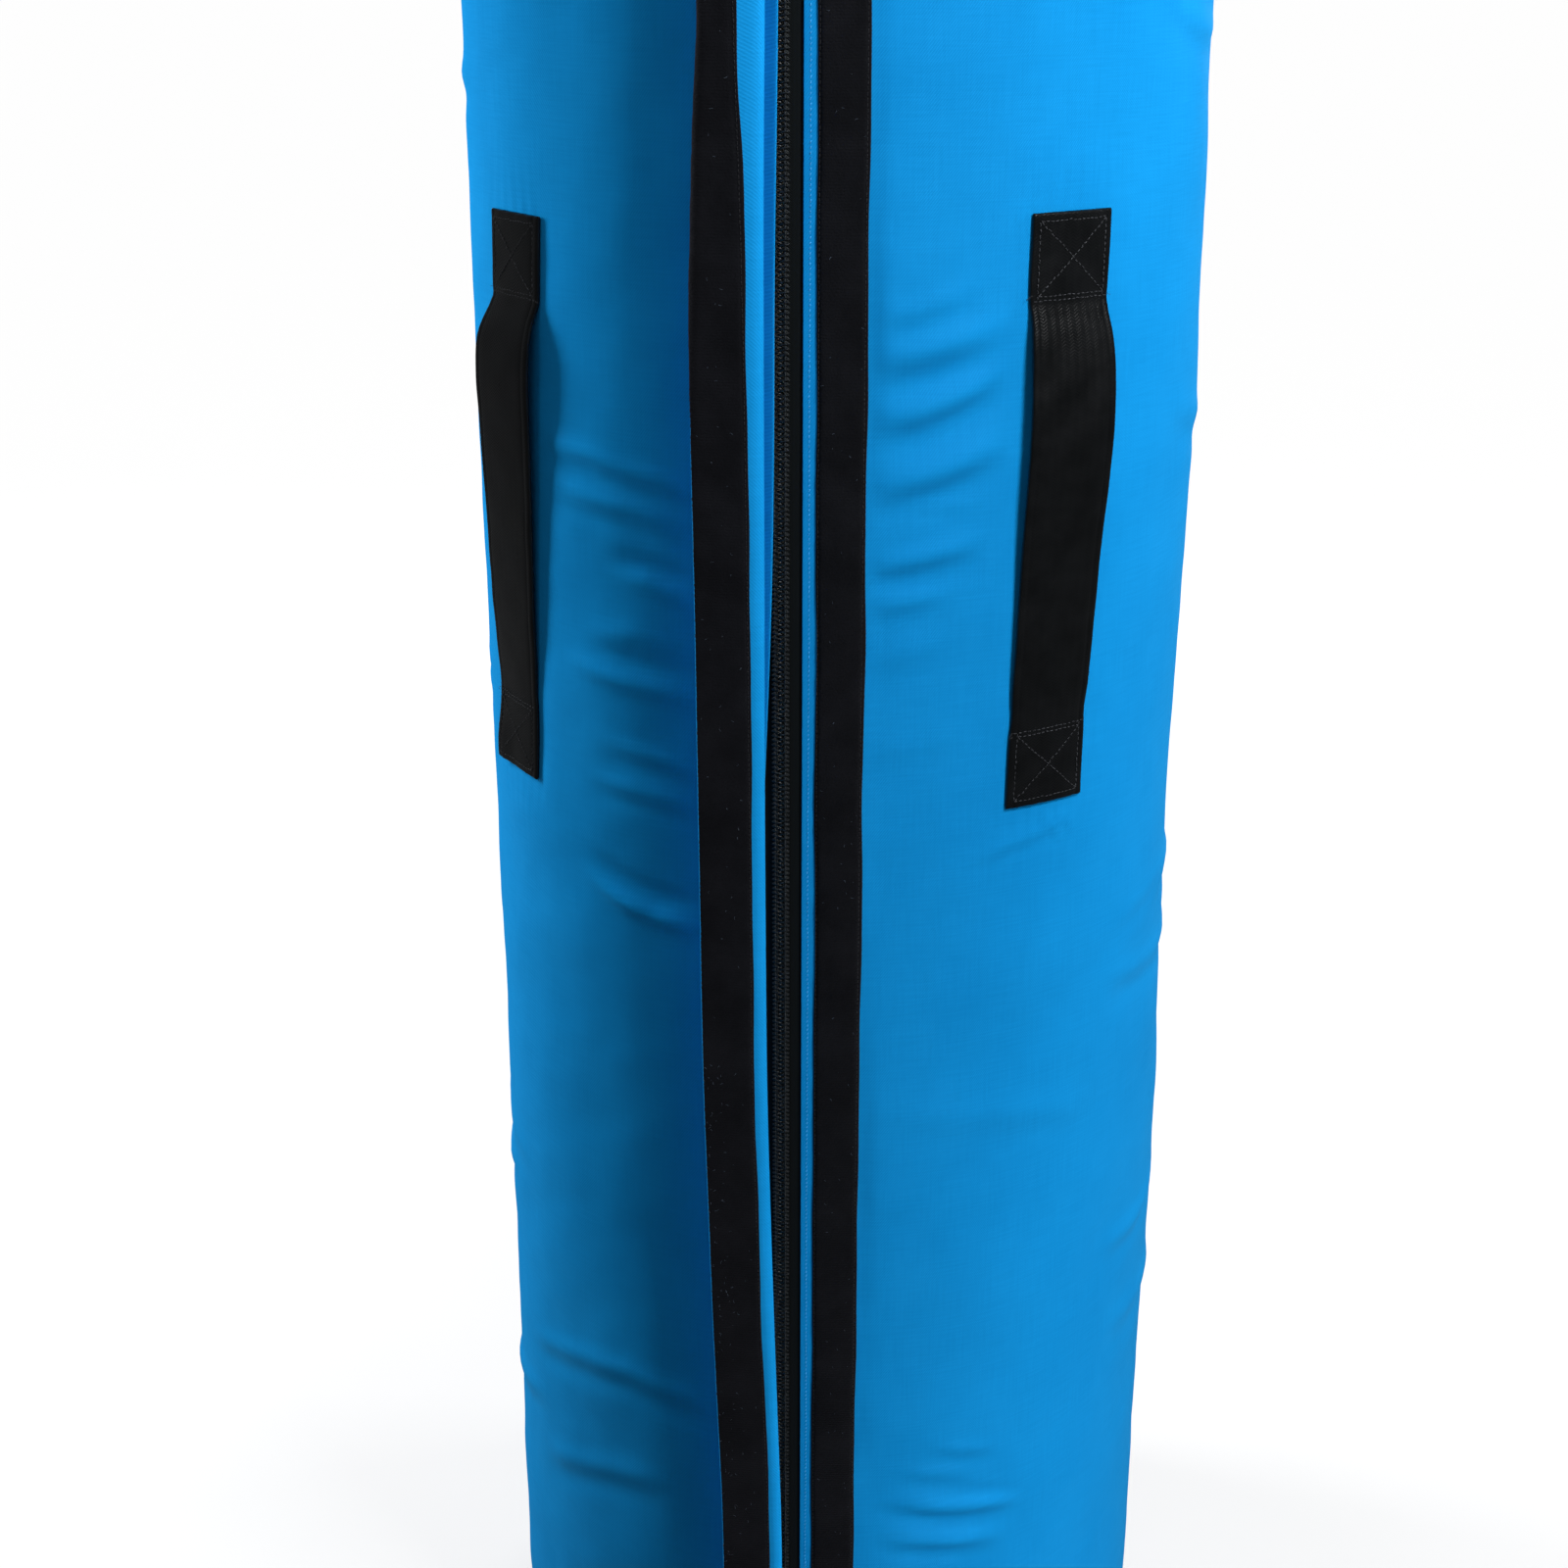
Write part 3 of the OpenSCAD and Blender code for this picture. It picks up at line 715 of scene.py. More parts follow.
def sand(name):
    m = Mat(name)
    co = m.obj()
    weave = m.wave(co, 0.0016, 0.4, 1.0, 1.0)
    weave2 = m.wave(co, 0.0016, 0.4, 1.0, 1.0, direction="Z")
    n = m.noise(co, 40.0, 4.0, 0.6)
    m.set(Base_Color=m.mix(n, (0.22, 0.2, 0.17), (0.42, 0.39, 0.33)), Roughness=m.remap(n, 0.3, 0.7, 0.75, 0.95),
          Normal=m.bump(m.math("ADD", weave, weave2), 0.5, 0.0004))
    return m.m


BLUE_D, BLUE_L = (0.0010, 0.161, 0.425), (0.0060, 0.250, 0.600)
cloth_m = cover_cloth("blue_twill", BLUE_D, BLUE_L)
# the flap is the cover's own twill; its colours are set lighter here as a painted highlight
flap_lit_twill_m = cover_cloth("blue_twill_flap_painted_highlight", (0.0014, 0.190, 0.485), (0.008, 0.290, 0.70))
pipe_m = cover_cloth("blue_twill_piping", (0.0004, 0.140, 0.40), (0.0014, 0.215, 0.56), pitch=1.05)
hook_m = pile_cloth("hook_pile", (0.0020, 0.0022, 0.0032), (0.0085, 0.0090, 0.0120), 1.05)
loop_m = pile_cloth("loop_pile", (0.0020, 0.0022, 0.0030), (0.0080, 0.0084, 0.0108), 0.9, rough=0.9, depth=0.0005)
web_m = webbing_cloth("black_webbing", (0.0008, 0.0012, 0.0015), (0.0040, 0.0046, 0.0055))
tape_m = tape_cloth("zip_tape_weave")
coil_m = nylon("zip_coil_nylon", (0.0016, 0.0024, 0.0027), (0.018, 0.023, 0.025))
coil_thread_m = thread("zip_coil_thread", (0.010, 0.012, 0.013), (0.045, 0.050, 0.052))
black_thread_m = thread("black_thread", (0.008, 0.009, 0.011), (0.060, 0.064, 0.074))
blue_thread_m = thread("blue_thread", (0.010, 0.22, 0.56), (0.10, 0.52, 0.95))
strip_thread_m = thread("strip_thread", (0.004, 0.0045, 0.006), (0.020, 0.021, 0.026))
metal_m = metal("black_zinc")
vinyl_m = vinyl("base_vinyl_grain", (0.010, 0.010, 0.011), (0.045, 0.045, 0.048))
lint_m = thread("lint_fibre", (0.035, 0.050, 0.075), (0.12, 0.15, 0.20), 0.8)


# ------------------------------------------------------------------ the cover's wall
def lip_pull(z):
    """How much the cover's edge left of the zip is pulled over the teeth."""
    z = np.asarray(z, float)
    return smooth(z, 560, 900) * (1 - smooth(z, 1330, 1392)) * (1 - 0.12 * np.sin(z / 63.0))


def cover_wall():
    edge = 11.55
    fine = np.arange(edge, 236, 2.7)
    u_right = np.concatenate([[edge], fine[1:], np.linspace(fine[-1], GIRTH / 2, 48)[1:-1]])
    inner = np.array([-7.0, -2.4, 2.4, 7.0])
    u_left = np.concatenate([[edge, 12.0, 12.5, 13.05, 13.7], u_right[1:]])
    u_left = np.unique(np.round(u_left, 4))
    u = np.concatenate([-u_left[::-1], inner, u_right])
    u = np.concatenate([[-GIRTH / 2], u])
    slot_z0, slot_z1 = 45.55, 1454.45
    z = np.concatenate([
        [5.6, 6.6, 7.6, 9.2, 11.5, 14.5, 18.5, 23.5, 29.5, 37.0],
        [slot_z0], np.arange(51.5, 150, 5.2), np.arange(150, 1066, 3.75), np.arange(1066, 1448, 5.7),
        [slot_z1], [1461.0, 1467.0, 1472.0, 1476.0, 1479.0, 1481.3, 1483.2, 1484.8, 1486.2],
    ])
    z = np.unique(np.round(z, 3))
    U, Z = np.meshgrid(u, z)
    D = cover_d(U, Z)
    rad = R + D
    rad -= 0.75 * (1 - smooth(Z, 5.0, 9.0)) + 0.75 * smooth(Z, 1482.5, 1486.5)
    V = at(U, Z, rad)
    n, m = len(z), len(u)
    faces = grid_faces(n, m, close_m=True).reshape(n - 1, m, 4)
    uvl = np.stack([U, Z], -1).reshape(-1, 2)
    jl = int(np.argmin(np.abs(u + edge)))
    jr = int(np.argmin(np.abs(u - edge)))
    i0 = int(np.argmin(np.abs(z - slot_z0)))
    i1 = int(np.argmin(np.abs(z - slot_z1)))
    keep = np.ones((n - 1, m), bool)
    keep[i0:i1, jl:jr] = False
    f = faces[keep]
    cols = np.broadcast_to(np.arange(m)[None], (n - 1, m))[keep]
    loop_uv = uvl[f.reshape(-1)].reshape(-1, 4, 2)
    last = cols == m - 1
    loop_uv[last, 1, 0] = GIRTH / 2
    loop_uv[last, 2, 0] = GIRTH / 2
    # the rolled edge of the slot, with its hem turned under
    loop = ([(i0, j) for j in range(jl, jr)] + [(i, jr) for i in range(i0, i1)]
            + [(i1, j) for j in range(jr, jl, -1)] + [(i, jl) for i in range(i1, i0, -1)])
    loop = np.array(loop)
    du = np.where(loop[:, 1] == jr, -1.0, np.where(loop[:, 1] == jl, 1.0, 0.0))
    dz = np.where(loop[:, 0] == i0, 1.0, np.where(loop[:, 0] == i1, -1.0, 0.0))
    prof = [(0.22, -0.04), (0.42, -0.18), (0.54, -0.45), (0.52, -0.75), (0.3, -1.0), (-0.6, -1.12), (-6.0, -1.12)]
    lu, lz = u[loop[:, 1]], z[loop[:, 0]]
    base = rad[loop[:, 0], loop[:, 1]]
    verts = [V.reshape(-1, 3)]
    rings = [loop[:, 0] * m + loop[:, 1]]
    start = n * m
    uvs = [uvl]
    k = len(loop)
    for off, h in prof:
        verts.append(at(lu + du * off, lz + dz * off, base + h))
        uvs.append(np.stack([lu + du * off, lz + dz * off], -1))
        rings.append(np.arange(start, start + k))
        start += k
    lip = []
    for a, b in zip(rings[:-1], rings[1:]):
        lip.append(np.stack([a, np.roll(a, -1), np.roll(b, -1), b], -1))
    lip = np.concatenate(lip)
    uvs = np.concatenate(uvs)
    # left of the zip the edge has been pulled up by the flap and stands over half of the teeth
    allv = np.concatenate(verts)
    pull = lip_pull(allv[:, 2] * 1000)
    w = smooth(allv[:, 0] * 1000, -14.6, -11.6) * (allv[:, 0] < -0.008) * (allv[:, 1] < 0)
    allv[:, 0] += 9.3 * pull * w * MM
    allv[:, 1] -= (3.3 * w ** 1.5) * pull * MM
    verts = [allv]
    allf = np.concatenate([f, lip])
    luv = np.concatenate([loop_uv.reshape(-1, 2), uvs[lip.reshape(-1)]])
    ob = build("cover_wall_cloth", np.concatenate(verts), [allf], cloth_m, loop_uv=luv)
    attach(ob, "bag")
    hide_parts("cover_panel")
    return ob


def disc(name, rings, mat, z_of, slot, node, cols=300, centre_z=None):
    """A round panel from its seam to its middle; z_of(r, angle) is in mm."""
    a = np.arange(cols) / cols * TAU
    rr = np.array(rings)
    RR, A = np.meshgrid(rr, a, indexing="ij")
    ZZ = z_of(RR, A)
    V = np.stack([RR * np.sin(A), -RR * np.cos(A), ZZ], -1) * MM
    n = len(rr)
    verts = np.concatenate([V.reshape(-1, 3), [[0, 0, centre_z * MM]]])
    quads = grid_faces(n, cols, close_m=True)
    tip = n * cols
    j = np.arange(cols)
    tris = np.stack([(n - 1) * cols + j, (n - 1) * cols + (j + 1) % cols, np.full(cols, tip)], -1)
    uv = verts[:, :2] * 1000
    ob = build(name, verts, [quads, tris], mat, uv=uv)
    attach(ob, "bag")
    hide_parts(node)
    return ob


top_wave = waves(31, 12, 30, 120)
top_edge = waves(33, 9, 15, 40)


def top_z(r, a):
    u = a * R
    x, y = r * np.sin(a), -r * np.cos(a)
    z = 1487.9 + 12 * (1 - (np.minimum(r, 200.8) / 200.8) ** 1.9)
    z = z + 0.7 * smooth(r, 200.8, 202.3)
    edge = np.exp(-np.maximum(201 - r, 0) / 15.0)
    z = z + 0.5 * edge * np.abs(top_edge(u, r * 0.2)) * (1 - smooth(r, 199.5, 201.2))
    z = z - 0.5 * np.exp(-((r - 197) / 4.0) ** 2)
    z = z + 0.35 * top_wave(x, y) * (1 - smooth(r, 150, 196))
    return z


def base_z(r, a):
    z = 1.98 * (np.maximum(r - 198.5, 0.0) / 3.8) ** 1.5
    groove = 0.35 * np.exp(-((r - 192.0) / 0.9) ** 2)
    return z + groove + 0.0 * a


# ------------------------------------------------------------------ piping
def piping(name, z0, node, seed):
    cols, sides = 1080, 16
    a = np.arange(cols) / cols * TAU
    b = np.arange(sides) / sides * TAU
    A, B = np.meshgrid(a, b, indexing="ij")
    wr = waves(seed, 12, 9, 26)
    wl = waves(seed + 1, 6, 90, 300)
    ripple = 0.055 * np.sin(A * 330 + 2.2 * B) + 0.10 * wr(A * R, B * 8)
    rad = 2.95 + ripple + 0.05 * wl(A * R, 0 * B)
    rr = 204.0 + rad * np.cos(B)
    zz = z0 + 0.18 * wl(A * R + 60, 0 * B) + rad * np.sin(B)
    zz = np.maximum(zz, 0.75)
    V = np.stack([rr * np.sin(A), -rr * np.cos(A), zz], -1) * MM
    f = grid_faces(cols, sides, close_n=True, close_m=True)
    uv = np.stack([A * R, B * 3.0], -1).reshape(-1, 2)
    ob = build(name, V.reshape(-1, 3), [f[:, ::-1]], pipe_m, loop_uv=uv[f[:, ::-1].reshape(-1)])
    # keep the pattern whole where the ring closes
    ly = ob.data.uv_layers["cloth"].data
    arr = np.zeros(len(ly) * 2, np.float32)
    ly.foreach_get("uv", arr)
    arr = arr.reshape(-1, 4, 2)
    span = arr[:, :, 0].max(1) - arr[:, :, 0].min(1) > GIRTH / 2
    arr[span, :, 0] = np.where(arr[span, :, 0] < GIRTH / 2, arr[span, :, 0] + GIRTH, arr[span, :, 0])
    over = arr[:, :, 1].max(1) - arr[:, :, 1].min(1) > 9
    arr[over, :, 1] = np.where(arr[over, :, 1] < 9, arr[over, :, 1] + TAU * 3, arr[over, :, 1])
    ly.foreach_set("uv", arr.ravel())
    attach(ob, "bag")
    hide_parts(node)
    return ob


# ------------------------------------------------------------------ the zip
Z0, Z1 = 45.0, 1455.0


def zip_tape(name, sign, node):
    """Woven tape with a corded inner edge."""
    top = [(1.75, -1.95), (1.8, -1.6), (2.2, -1.38), (2.9, -1.38), (3.4, -1.5), (5.4, -1.52), (5.9, -1.42),
           (6.4, -1.52), (8.0, -1.52), (8.5, -1.44), (9.0, -1.52), (12.5, -1.52), (15.5, -1.5), (18.6, -1.5), (18.9, -1.7)]
    bot = [(18.9, -2.0), (18.6, -2.18), (12.0, -2.18), (6.0, -2.18), (2.4, -2.18)]
    ring = np.array(top + bot)
    z = np.linspace(Z0 + 0.3, Z1 - 0.3, 240)
    s = sign * ring[:, 0]
    S, Zg = np.meshgrid(s, z)
    H = np.broadcast_to(ring[:, 1][None], S.shape).copy()
    wob = 0.05 * np.sin(Zg / 9.0 + sign) * smooth(np.abs(S), 5, 12)
    V = at(np.arcsin(S / (R + H)) * R, Zg, (R + H) + wob)
    n, m = V.shape[:2]
    f = grid_faces(n, m, close_m=True)
    if sign > 0:
        f = f[:, ::-1]
    k = len(top)
    uv = np.stack([S, Zg], -1).reshape(-1, 2)
    caps = []
    for base in (0, (n - 1) * m):
        for i in range(1, m - 1):
            caps.append([base, base + i, base + i + 1] if base else [base, base + i + 1, base + i])
    ob = build(name, V.reshape(-1, 3), [f, np.array(caps)], tape_m, uv=uv)
    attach(ob, "bag")
    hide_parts(node)
    return ob


PITCH = 2.54


def zip_coil(name, sign, node):
    """One continuous monofilament wound into a row of teeth: the heads lock with the other side's."""
    z_lo, z_hi = 53.0, 1447.5
    turns = int((z_hi - z_lo) / PITCH)
    per, sides = 16, 6
    total = turns * per
    k = np.arange(total + 1)
    th = k / per * TAU                       # 0 at the head, half a turn at the back
    ph = (th % TAU)
    cx = np.cos(ph)
    # the two legs lie over each other, and the head is a round eye
    s = 1.85 - 2.5 * np.sign(cx) * np.abs(cx) ** 0.85
    h = 0.12 + 0.93 * np.sign(np.sin(ph)) * np.abs(np.sin(ph)) ** 0.75
    z = z_lo + (0.5 * PITCH if sign < 0 else 0.0) + k / per * PITCH
    # a turn advances at its back, so that each tooth stands square
    z = z + 0.18 * PITCH * np.sin(ph)
    gap = 1.5 * smooth(z, 1428, 1441)
    path = front(sign * (s + gap), h, z)
    tan = np.gradient(path, axis=0)
    tan /= np.linalg.norm(tan, axis=1, keepdims=True)
    zed = np.array([0.0, 0.0, 1.0])
    b = np.broadcast_to(zed, tan.shape) - tan * tan[:, 2:3]
    b /= np.linalg.norm(b, axis=1, keepdims=True)
    nrm = np.cross(tan, b)
    head = np.exp(-((s + 0.7) / 0.9) ** 2)
    wide = (0.50 + 0.12 * head) * MM
    thick = (0.44 + 0.02 * head) * MM
    a = np.linspace(0, TAU, sides, endpoint=False)
    V = (path[:, None] + (wide[:, None] * np.cos(a)[None])[..., None] * b[:, None]
         + (thick[:, None] * np.sin(a)[None])[..., None] * nrm[:, None])
    n = len(path)
    f = grid_faces(n, sides, close_m=True)
    caps = []
    for i in range(1, sides - 1):
        caps += [[0, i, i + 1], [(n - 1) * sides, (n - 1) * sides + i + 1, (n - 1) * sides + i]]
    uv = np.stack([np.broadcast_to((k / per * 12.0)[:, None], (n, sides)),
                   np.broadcast_to(a[None] * 0.5, (n, sides))], -1)
    ob = build(name, V.reshape(-1, 3), [f[:, ::-1], np.array(caps)], coil_m, uv=uv.reshape(-1, 2))
    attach(ob, "bag")
    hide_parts(node)
    # a cord runs inside the coil, and two rows of thread sew it to the tape
    parts = Parts()
    zz = np.arange(z_lo + 1, z_hi, 6.0)
    tube(parts, front(sign * (2.0 + 1.5 * smooth(zz, 1428, 1441)), 0.12, zz), 0.42 * MM, 6)
    zc = z_lo + (0.5 * PITCH if sign < 0 else 0.0) + (np.arange(turns) + 0.28) * PITCH
    zc = zc[zc < z_hi - 2]
    g = 1.5 * smooth(zc, 1428, 1441)
    up = np.broadcast_to([0, -1.0, 0], (len(zc), 3))
    rng = np.random.RandomState(4 if sign > 0 else 6)
    capsules(parts, front(sign * (2.75 + g), 1.42, zc + 0.5 * PITCH), np.broadcast_to([0.10 * sign, 0, 1.0], (len(zc), 3)), up,
             2.15 * MM, 0.27 * MM * rng.uniform(0.9, 1.1, len(zc)))
    capsules(parts, front(sign * (3.75 + g), 1.12, zc + 0.5 * PITCH), np.broadcast_to([-0.9 * sign, 0, 1.0], (len(zc), 3)), up,
             1.75 * MM, 0.24 * MM)
    ob2 = parts.done(name + "_sewing", coil_thread_m)
    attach(ob2, "bag")
    return ob


# ------------------------------------------------------------------ the storm flap
FLAP_Z0, FLAP_Z1, FLAP_T = 45.0, 1395.0, 1.4
A_ROOT = np.array([-12.5, 1.2])
B_FOLD = np.array([-1.24, 22.62])
FLAP_MID = [(-24.5, 0.85), (-20.0, 0.85), (-16.2, 0.9), (-14.0, 1.7), (-12.9, 4.0), (-11.5, 7.4), (-9.8, 11.2),
            (-8.0, 14.8), (-6.2, 18.0), (-4.6, 20.6), (-3.9, 22.2), (-4.0, 23.6), (-4.9, 24.8),
            (-6.4, 25.75), (-8.4, 26.3), (-14.0, 26.5), (-21.5, 26.64), (-29.0, 26.95), (-36.9, 27.3)]
SPLIT_AT = 19.4       # the root piece ends where the line passes this height

# the open flap leans and opens by different amounts up the bag: (frame y, lean, wider margin, leftmost)
_sway = [(5, -0.5, 9.0, -33.4), (85, -1.0, 7.0, -35.6), (165, -1.4, 5.0, -37.4), (245, -1.5, 3.6, -38.5), (325, -1.6, 2.7, -39.0),
         (405, -1.6, 1.9, -39.5), (645, -1.5, 0.9, -40.0), (805, -1.7, 0.0, -40.0), (965, -1.5, 0.0, -40.0), (1125, -0.9, 0.0, -40.0),
         (1285, 1.6, 0.0, -40.0), (1445, 4.6, 0.0, -40.0), (1525, 6.4, 0.0, -40.0), (1598, 7.4, 0.0, -40.0)]
_sway_z = np.array([on_cover(770, row[0], R + 25)[1] for row in _sway])[::-1]
_sway_v = np.array([row[1:] for row in _sway])[::-1]
_sway_z = np.concatenate([[40.0, 110.0], _sway_z, [1200.0, 1395.0]])
_sway_v = np.vstack([[5.0, 0.0, -40.0], [6.8, 0.0, -40.0], _sway_v, [-0.4, 8.6, -33.6], [-0.2, 7.6, -34.2]])


def sway(z):
    """(lean, wider margin, leftmost) of the flap at the height z, smoothed."""
    out = []
    for k in range(3):
        acc = 0.0
        for dz, wt in ((-36, 0.14), (-18, 0.22), (0, 0.28), (18, 0.22), (36, 0.14)):
            acc = acc + wt * np.interp(np.asarray(z, float) + dz, _sway_z, _sway_v[:, k])
        out.append(acc)
    return out


flap_long = waves(41, 7, 120, 420)
flap_short = waves(43, 9, 24, 60)


def flap_line():
    line = spline(FLAP_MID, 130)
    return line


def flap_warp(P, z, s_arc):
    """Bends a section of the flap, mm to mm: its lean, its curled edge and the small waves of the cloth."""
    s, h = P[..., 0], P[..., 1]
    lean, wide, left = sway(z)
    lift = smooth(s_arc, 26, 60)
    ease = smooth(z, FLAP_Z0, FLAP_Z0 + 30) * (1 - smooth(z, FLAP_Z1 - 30, FLAP_Z1))
    s = s + lean * smooth(h, 2.5, 21)
    s = s - wide * smooth(-P[..., 0], 5.0, 12.5) * (P[..., 1] > 20)
    s = s + 0.09 * lift * flap_long(z * 0, z)
    h = h + 0.10 * lift * flap_short(z * 0 + 30, z) * ease
    # moved sideways it keeps its distance from the round of the bag when closed
    h = h - 0.16 * np.maximum(lean, 0) * smooth(-P[..., 0], 4.0, 12.0) * (P[..., 1] > 20)
    # the free edge rolls back where the flap has opened furthest
    rho, ref = 3.4, 26.9
    start = left + rho
    t = np.maximum(start - s, 0.0)
    th = np.minimum(t / rho, 2.7)
    out_r = rho + (h - ref)
    s2 = np.where(t > 0, start - out_r * np.sin(th), s)
    h2 = np.where(t > 0, ref - rho + out_r * np.cos(th), h)
    w = smooth(wide, 0.8, 4.5) * (P[..., 1] > 20)
    return s + (s2 - s) * w, h + (h2 - h) * w


def storm_flap():
    full = flap_line()
    dist = np.concatenate([[0], np.cumsum(np.linalg.norm(np.diff(full, axis=0), axis=1))])
    tan = np.gradient(full, axis=0)
    tan /= np.linalg.norm(tan, axis=1, keepdims=True)
    nrm = np.stack([-tan[:, 1], tan[:, 0]], -1)       # points to the side that shows its back
    past = np.where((full[:, 1] > SPLIT_AT))[0][0]
    z = np.concatenate([[FLAP_Z0], FLAP_Z0 + np.array([0.5, 1.4, 2.8]),
                        np.arange(FLAP_Z0 + 6, FLAP_Z1 - 6, 5.6), FLAP_Z1 - np.array([2.8, 1.4, 0.5]), [FLAP_Z1]])
    hem = 1 - smooth(np.minimum(z - FLAP_Z0, FLAP_Z1 - z), 9.0, 10.0) * 1.0
    round_end = np.sqrt(np.clip(1 - (1 - np.clip(np.minimum(z - FLAP_Z0, FLAP_Z1 - z) / 0.9, 0, 1)) ** 2, 0.02, 1))
    out = []
    for name, a, b, bodies, start, end, node in (
        ("storm_flap_root_cloth", 0, past + 1, ("bag", "flap_root"), A_ROOT, np.array([-6.5, 18.6]), "storm_flap_inner"),
        ("storm_flap_edge_cloth", past, len(full), ("flap_root", "flap_edge"), np.array([-4.3, 20.8]), np.array([-6.2, 25.2]), "storm_flap_outer"),
    ):
        L, N, S = full[a:b], nrm[a:b], dist[a:b]
        T = tan[a:b]
        m = len(L)
        half = FLAP_T / 2
        cap_at_end = name.endswith("edge_cloth")
        # section: the inner side there, the outer side back, with a round free edge
        near = [(i, 1.0, 0.0) for i in range(m)]
        far = [(i, -1.0, 0.0) for i in range(m - 1, -1, -1)]
        if cap_at_end:
            turn = [(m - 1, math.cos(t), math.sin(t)) for t in (0.5, 1.05, 1.57, 2.1, 2.64)]
            ring = near + turn + far
        else:
            turn = [(0, -math.cos(t), -math.sin(t)) for t in (0.5, 1.05, 1.57, 2.1, 2.64)]
            ring = near + far + turn
        idx = np.array([r[0] for r in ring])
        side = np.array([r[1] for r in ring])
        fwd = np.array([r[2] for r in ring])
        thick = half * (1 + 0.28 * hem[:, None]) * round_end[:, None]
        P = (L[idx][None] + N[idx][None] * (side[None] * thick)[..., None]
             + T[idx][None] * (fwd[None] * half)[..., None])
        Zg = np.broadcast_to(z[:, None], P.shape[:2])
        ps, ph = flap_warp(P, Zg, np.broadcast_to(S[idx][None], P.shape[:2]))
        V = front(ps, ph, Zg)
        # the sewn edge follows the round of the bag
        drop = np.where(P[..., 1] < 3, R - np.sqrt(R * R - np.minimum(P[..., 0], -8.0) ** 2), 0.0)
        w = 1 - smooth(P[..., 1], 1.0, 6.0)
        base_drop = (R - np.sqrt(R * R - P[..., 0] ** 2)) * w
        V[..., 1] += base_drop * MM
        n, k = V.shape[:2]
        if cap_at_end:
            f = grid_faces(n, k)
        else:
            f = grid_faces(n, k)
            # leave the end at the join open, close the sewn edge
        # the strip between the last and the first column closes the section on its capped side only
        if cap_at_end:
            pass
        else:
            i = np.arange(n - 1)
            f = np.concatenate([f, np.stack([i * k + k - 1, i * k, (i + 1) * k, (i + 1) * k + k - 1], -1)])
            # drop the faces across the open join
            j = m - 1
            bad = (f[:, 0] % k == j) & (f[:, 1] % k == j + 1)
            f = f[~bad]
        uv = np.stack([np.broadcast_to((S[idx] + fwd * half + np.where(side < 0, 200.0, 0.0))[None], Zg.shape), Zg], -1)
        caps = []
        for row in (0, n - 1):
            for i in range(m - 1):
                p, q = i, i + 1
                if cap_at_end:
                    fp, fq = m + 5 + (m - 1 - p), m + 5 + (m - 1 - q)
                else:
                    fp, fq = m + (m - 1 - p), m + (m - 1 - q)
                c = [row * k + p, row * k + q, row * k + fq, row * k + fp]
                caps.append(c if row else c[::-1])
        f = np.concatenate([f, np.array(caps)])
        # both flap pieces take the lighter twill, a painted highlight
        ob = build(name, V.reshape(-1, 3), [f], flap_lit_twill_m, uv=uv.reshape(-1, 2))
        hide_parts(node)
        s3 = front(start[0], start[1], 750.0)
        e3 = front(end[0], end[1], 750.0)
        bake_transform(ob)
        # this part of the flap is cut twice as wide as it is, turned double and sewn
        out.append(ob)
    return out, full, nrm, tan, dist


def flap_pos(full, nrm, dist, s_arc, off, z):
    """A point on the flap's line at the arc s_arc, off to its back side."""
    p = np.stack([np.interp(s_arc, dist, full[:, k]) for k in range(2)], -1)
    q = np.stack([np.interp(s_arc, dist, nrm[:, k]) for k in range(2)], -1)
    P = p + q * np.asarray(off, float)[..., None]
    shape = np.broadcast(z, P[..., 0]).shape
    return flap_warp(np.broadcast_to(P, shape + (2,)), np.broadcast_to(np.asarray(z, float), shape),
                     np.broadcast_to(s_arc, shape))


# ------------------------------------------------------------------ assembly of the cloth parts
cover_wall()
rings = [202.3, 201.6, 200.9, 200.0, 198.8, 197.3, 195.5, 193.2, 190.5, 187.2, 183.3, 178.5, 172.5, 165.0, 156.0, 145.0, 132.0, 118.0, 102.0, 85.0, 67.0, 48.0, 28.0, 12.0]
top = disc("cover_top_cloth", rings, cloth_m, top_z, "cover", "cover_top", cols=320, centre_z=1499.9)
rings = [202.3, 201.2, 200.2, 199.3, 198.5, 196.5, 194.5, 193.4, 192.7, 192.0, 191.3, 190.6, 189.5, 184.0, 170.0, 150.0, 125.0, 100.0, 70.0, 40.0, 15.0]
base = disc("base_panel_vinyl", rings, vinyl_m, base_z, "base_vinyl", "cover_base", cols=240, centre_z=0.0)
base.data.flip_normals()
piping("top_piping_cord", 1488.0, "top_piping", 51)
piping("base_piping_cord", 4.0, "base_piping", 53)
zip_tape("zip_tape_right_weave", 1, "zip_tape_right")
zip_tape("zip_tape_left_weave", -1, "zip_tape_left")
zip_coil("zip_coil_right_teeth", 1, "zip_coil_right")
zip_coil("zip_coil_left_teeth", -1, "zip_coil_left")
flaps, F_LINE, F_NRM, F_TAN, F_DIST = storm_flap()


# ------------------------------------------------------------------ hook and loop strips
def arc_at(s_target):
    """Arc along the flap's line where it passes s_target on its outer panel."""
    i = np.where(F_DIST > 45)[0]
    s = F_LINE[i, 0]
    return np.interp(-s_target, -s, F_DIST[i])


def strip_profile(width, thick, border=1.6):
    """Half open section of a sewn strip: (across, up), from one edge to the other and back underneath."""
    w = width / 2
    up = [(-w, 0.12), (-w + 0.12, thick * 0.42), (-w + 0.5, thick * 0.55), (-w + border, thick * 0.55),
          (-w + border + 0.35, thick * 0.82), (-w + border + 1.0, thick * 0.97)]
    mid = [(x, thick) for x in np.linspace(-w + border + 2.0, w - border - 2.0, 15)]
    down = [(-x, y) for x, y in up[::-1]]
    return np.array(up + mid + down + [(w - 0.1, 0.0), (0.0, 0.0), (-w + 0.1, 0.0)])


edge_wave = waves(61, 8, 40, 160)
pile_wave = waves(63, 20, 2.6, 7.0)


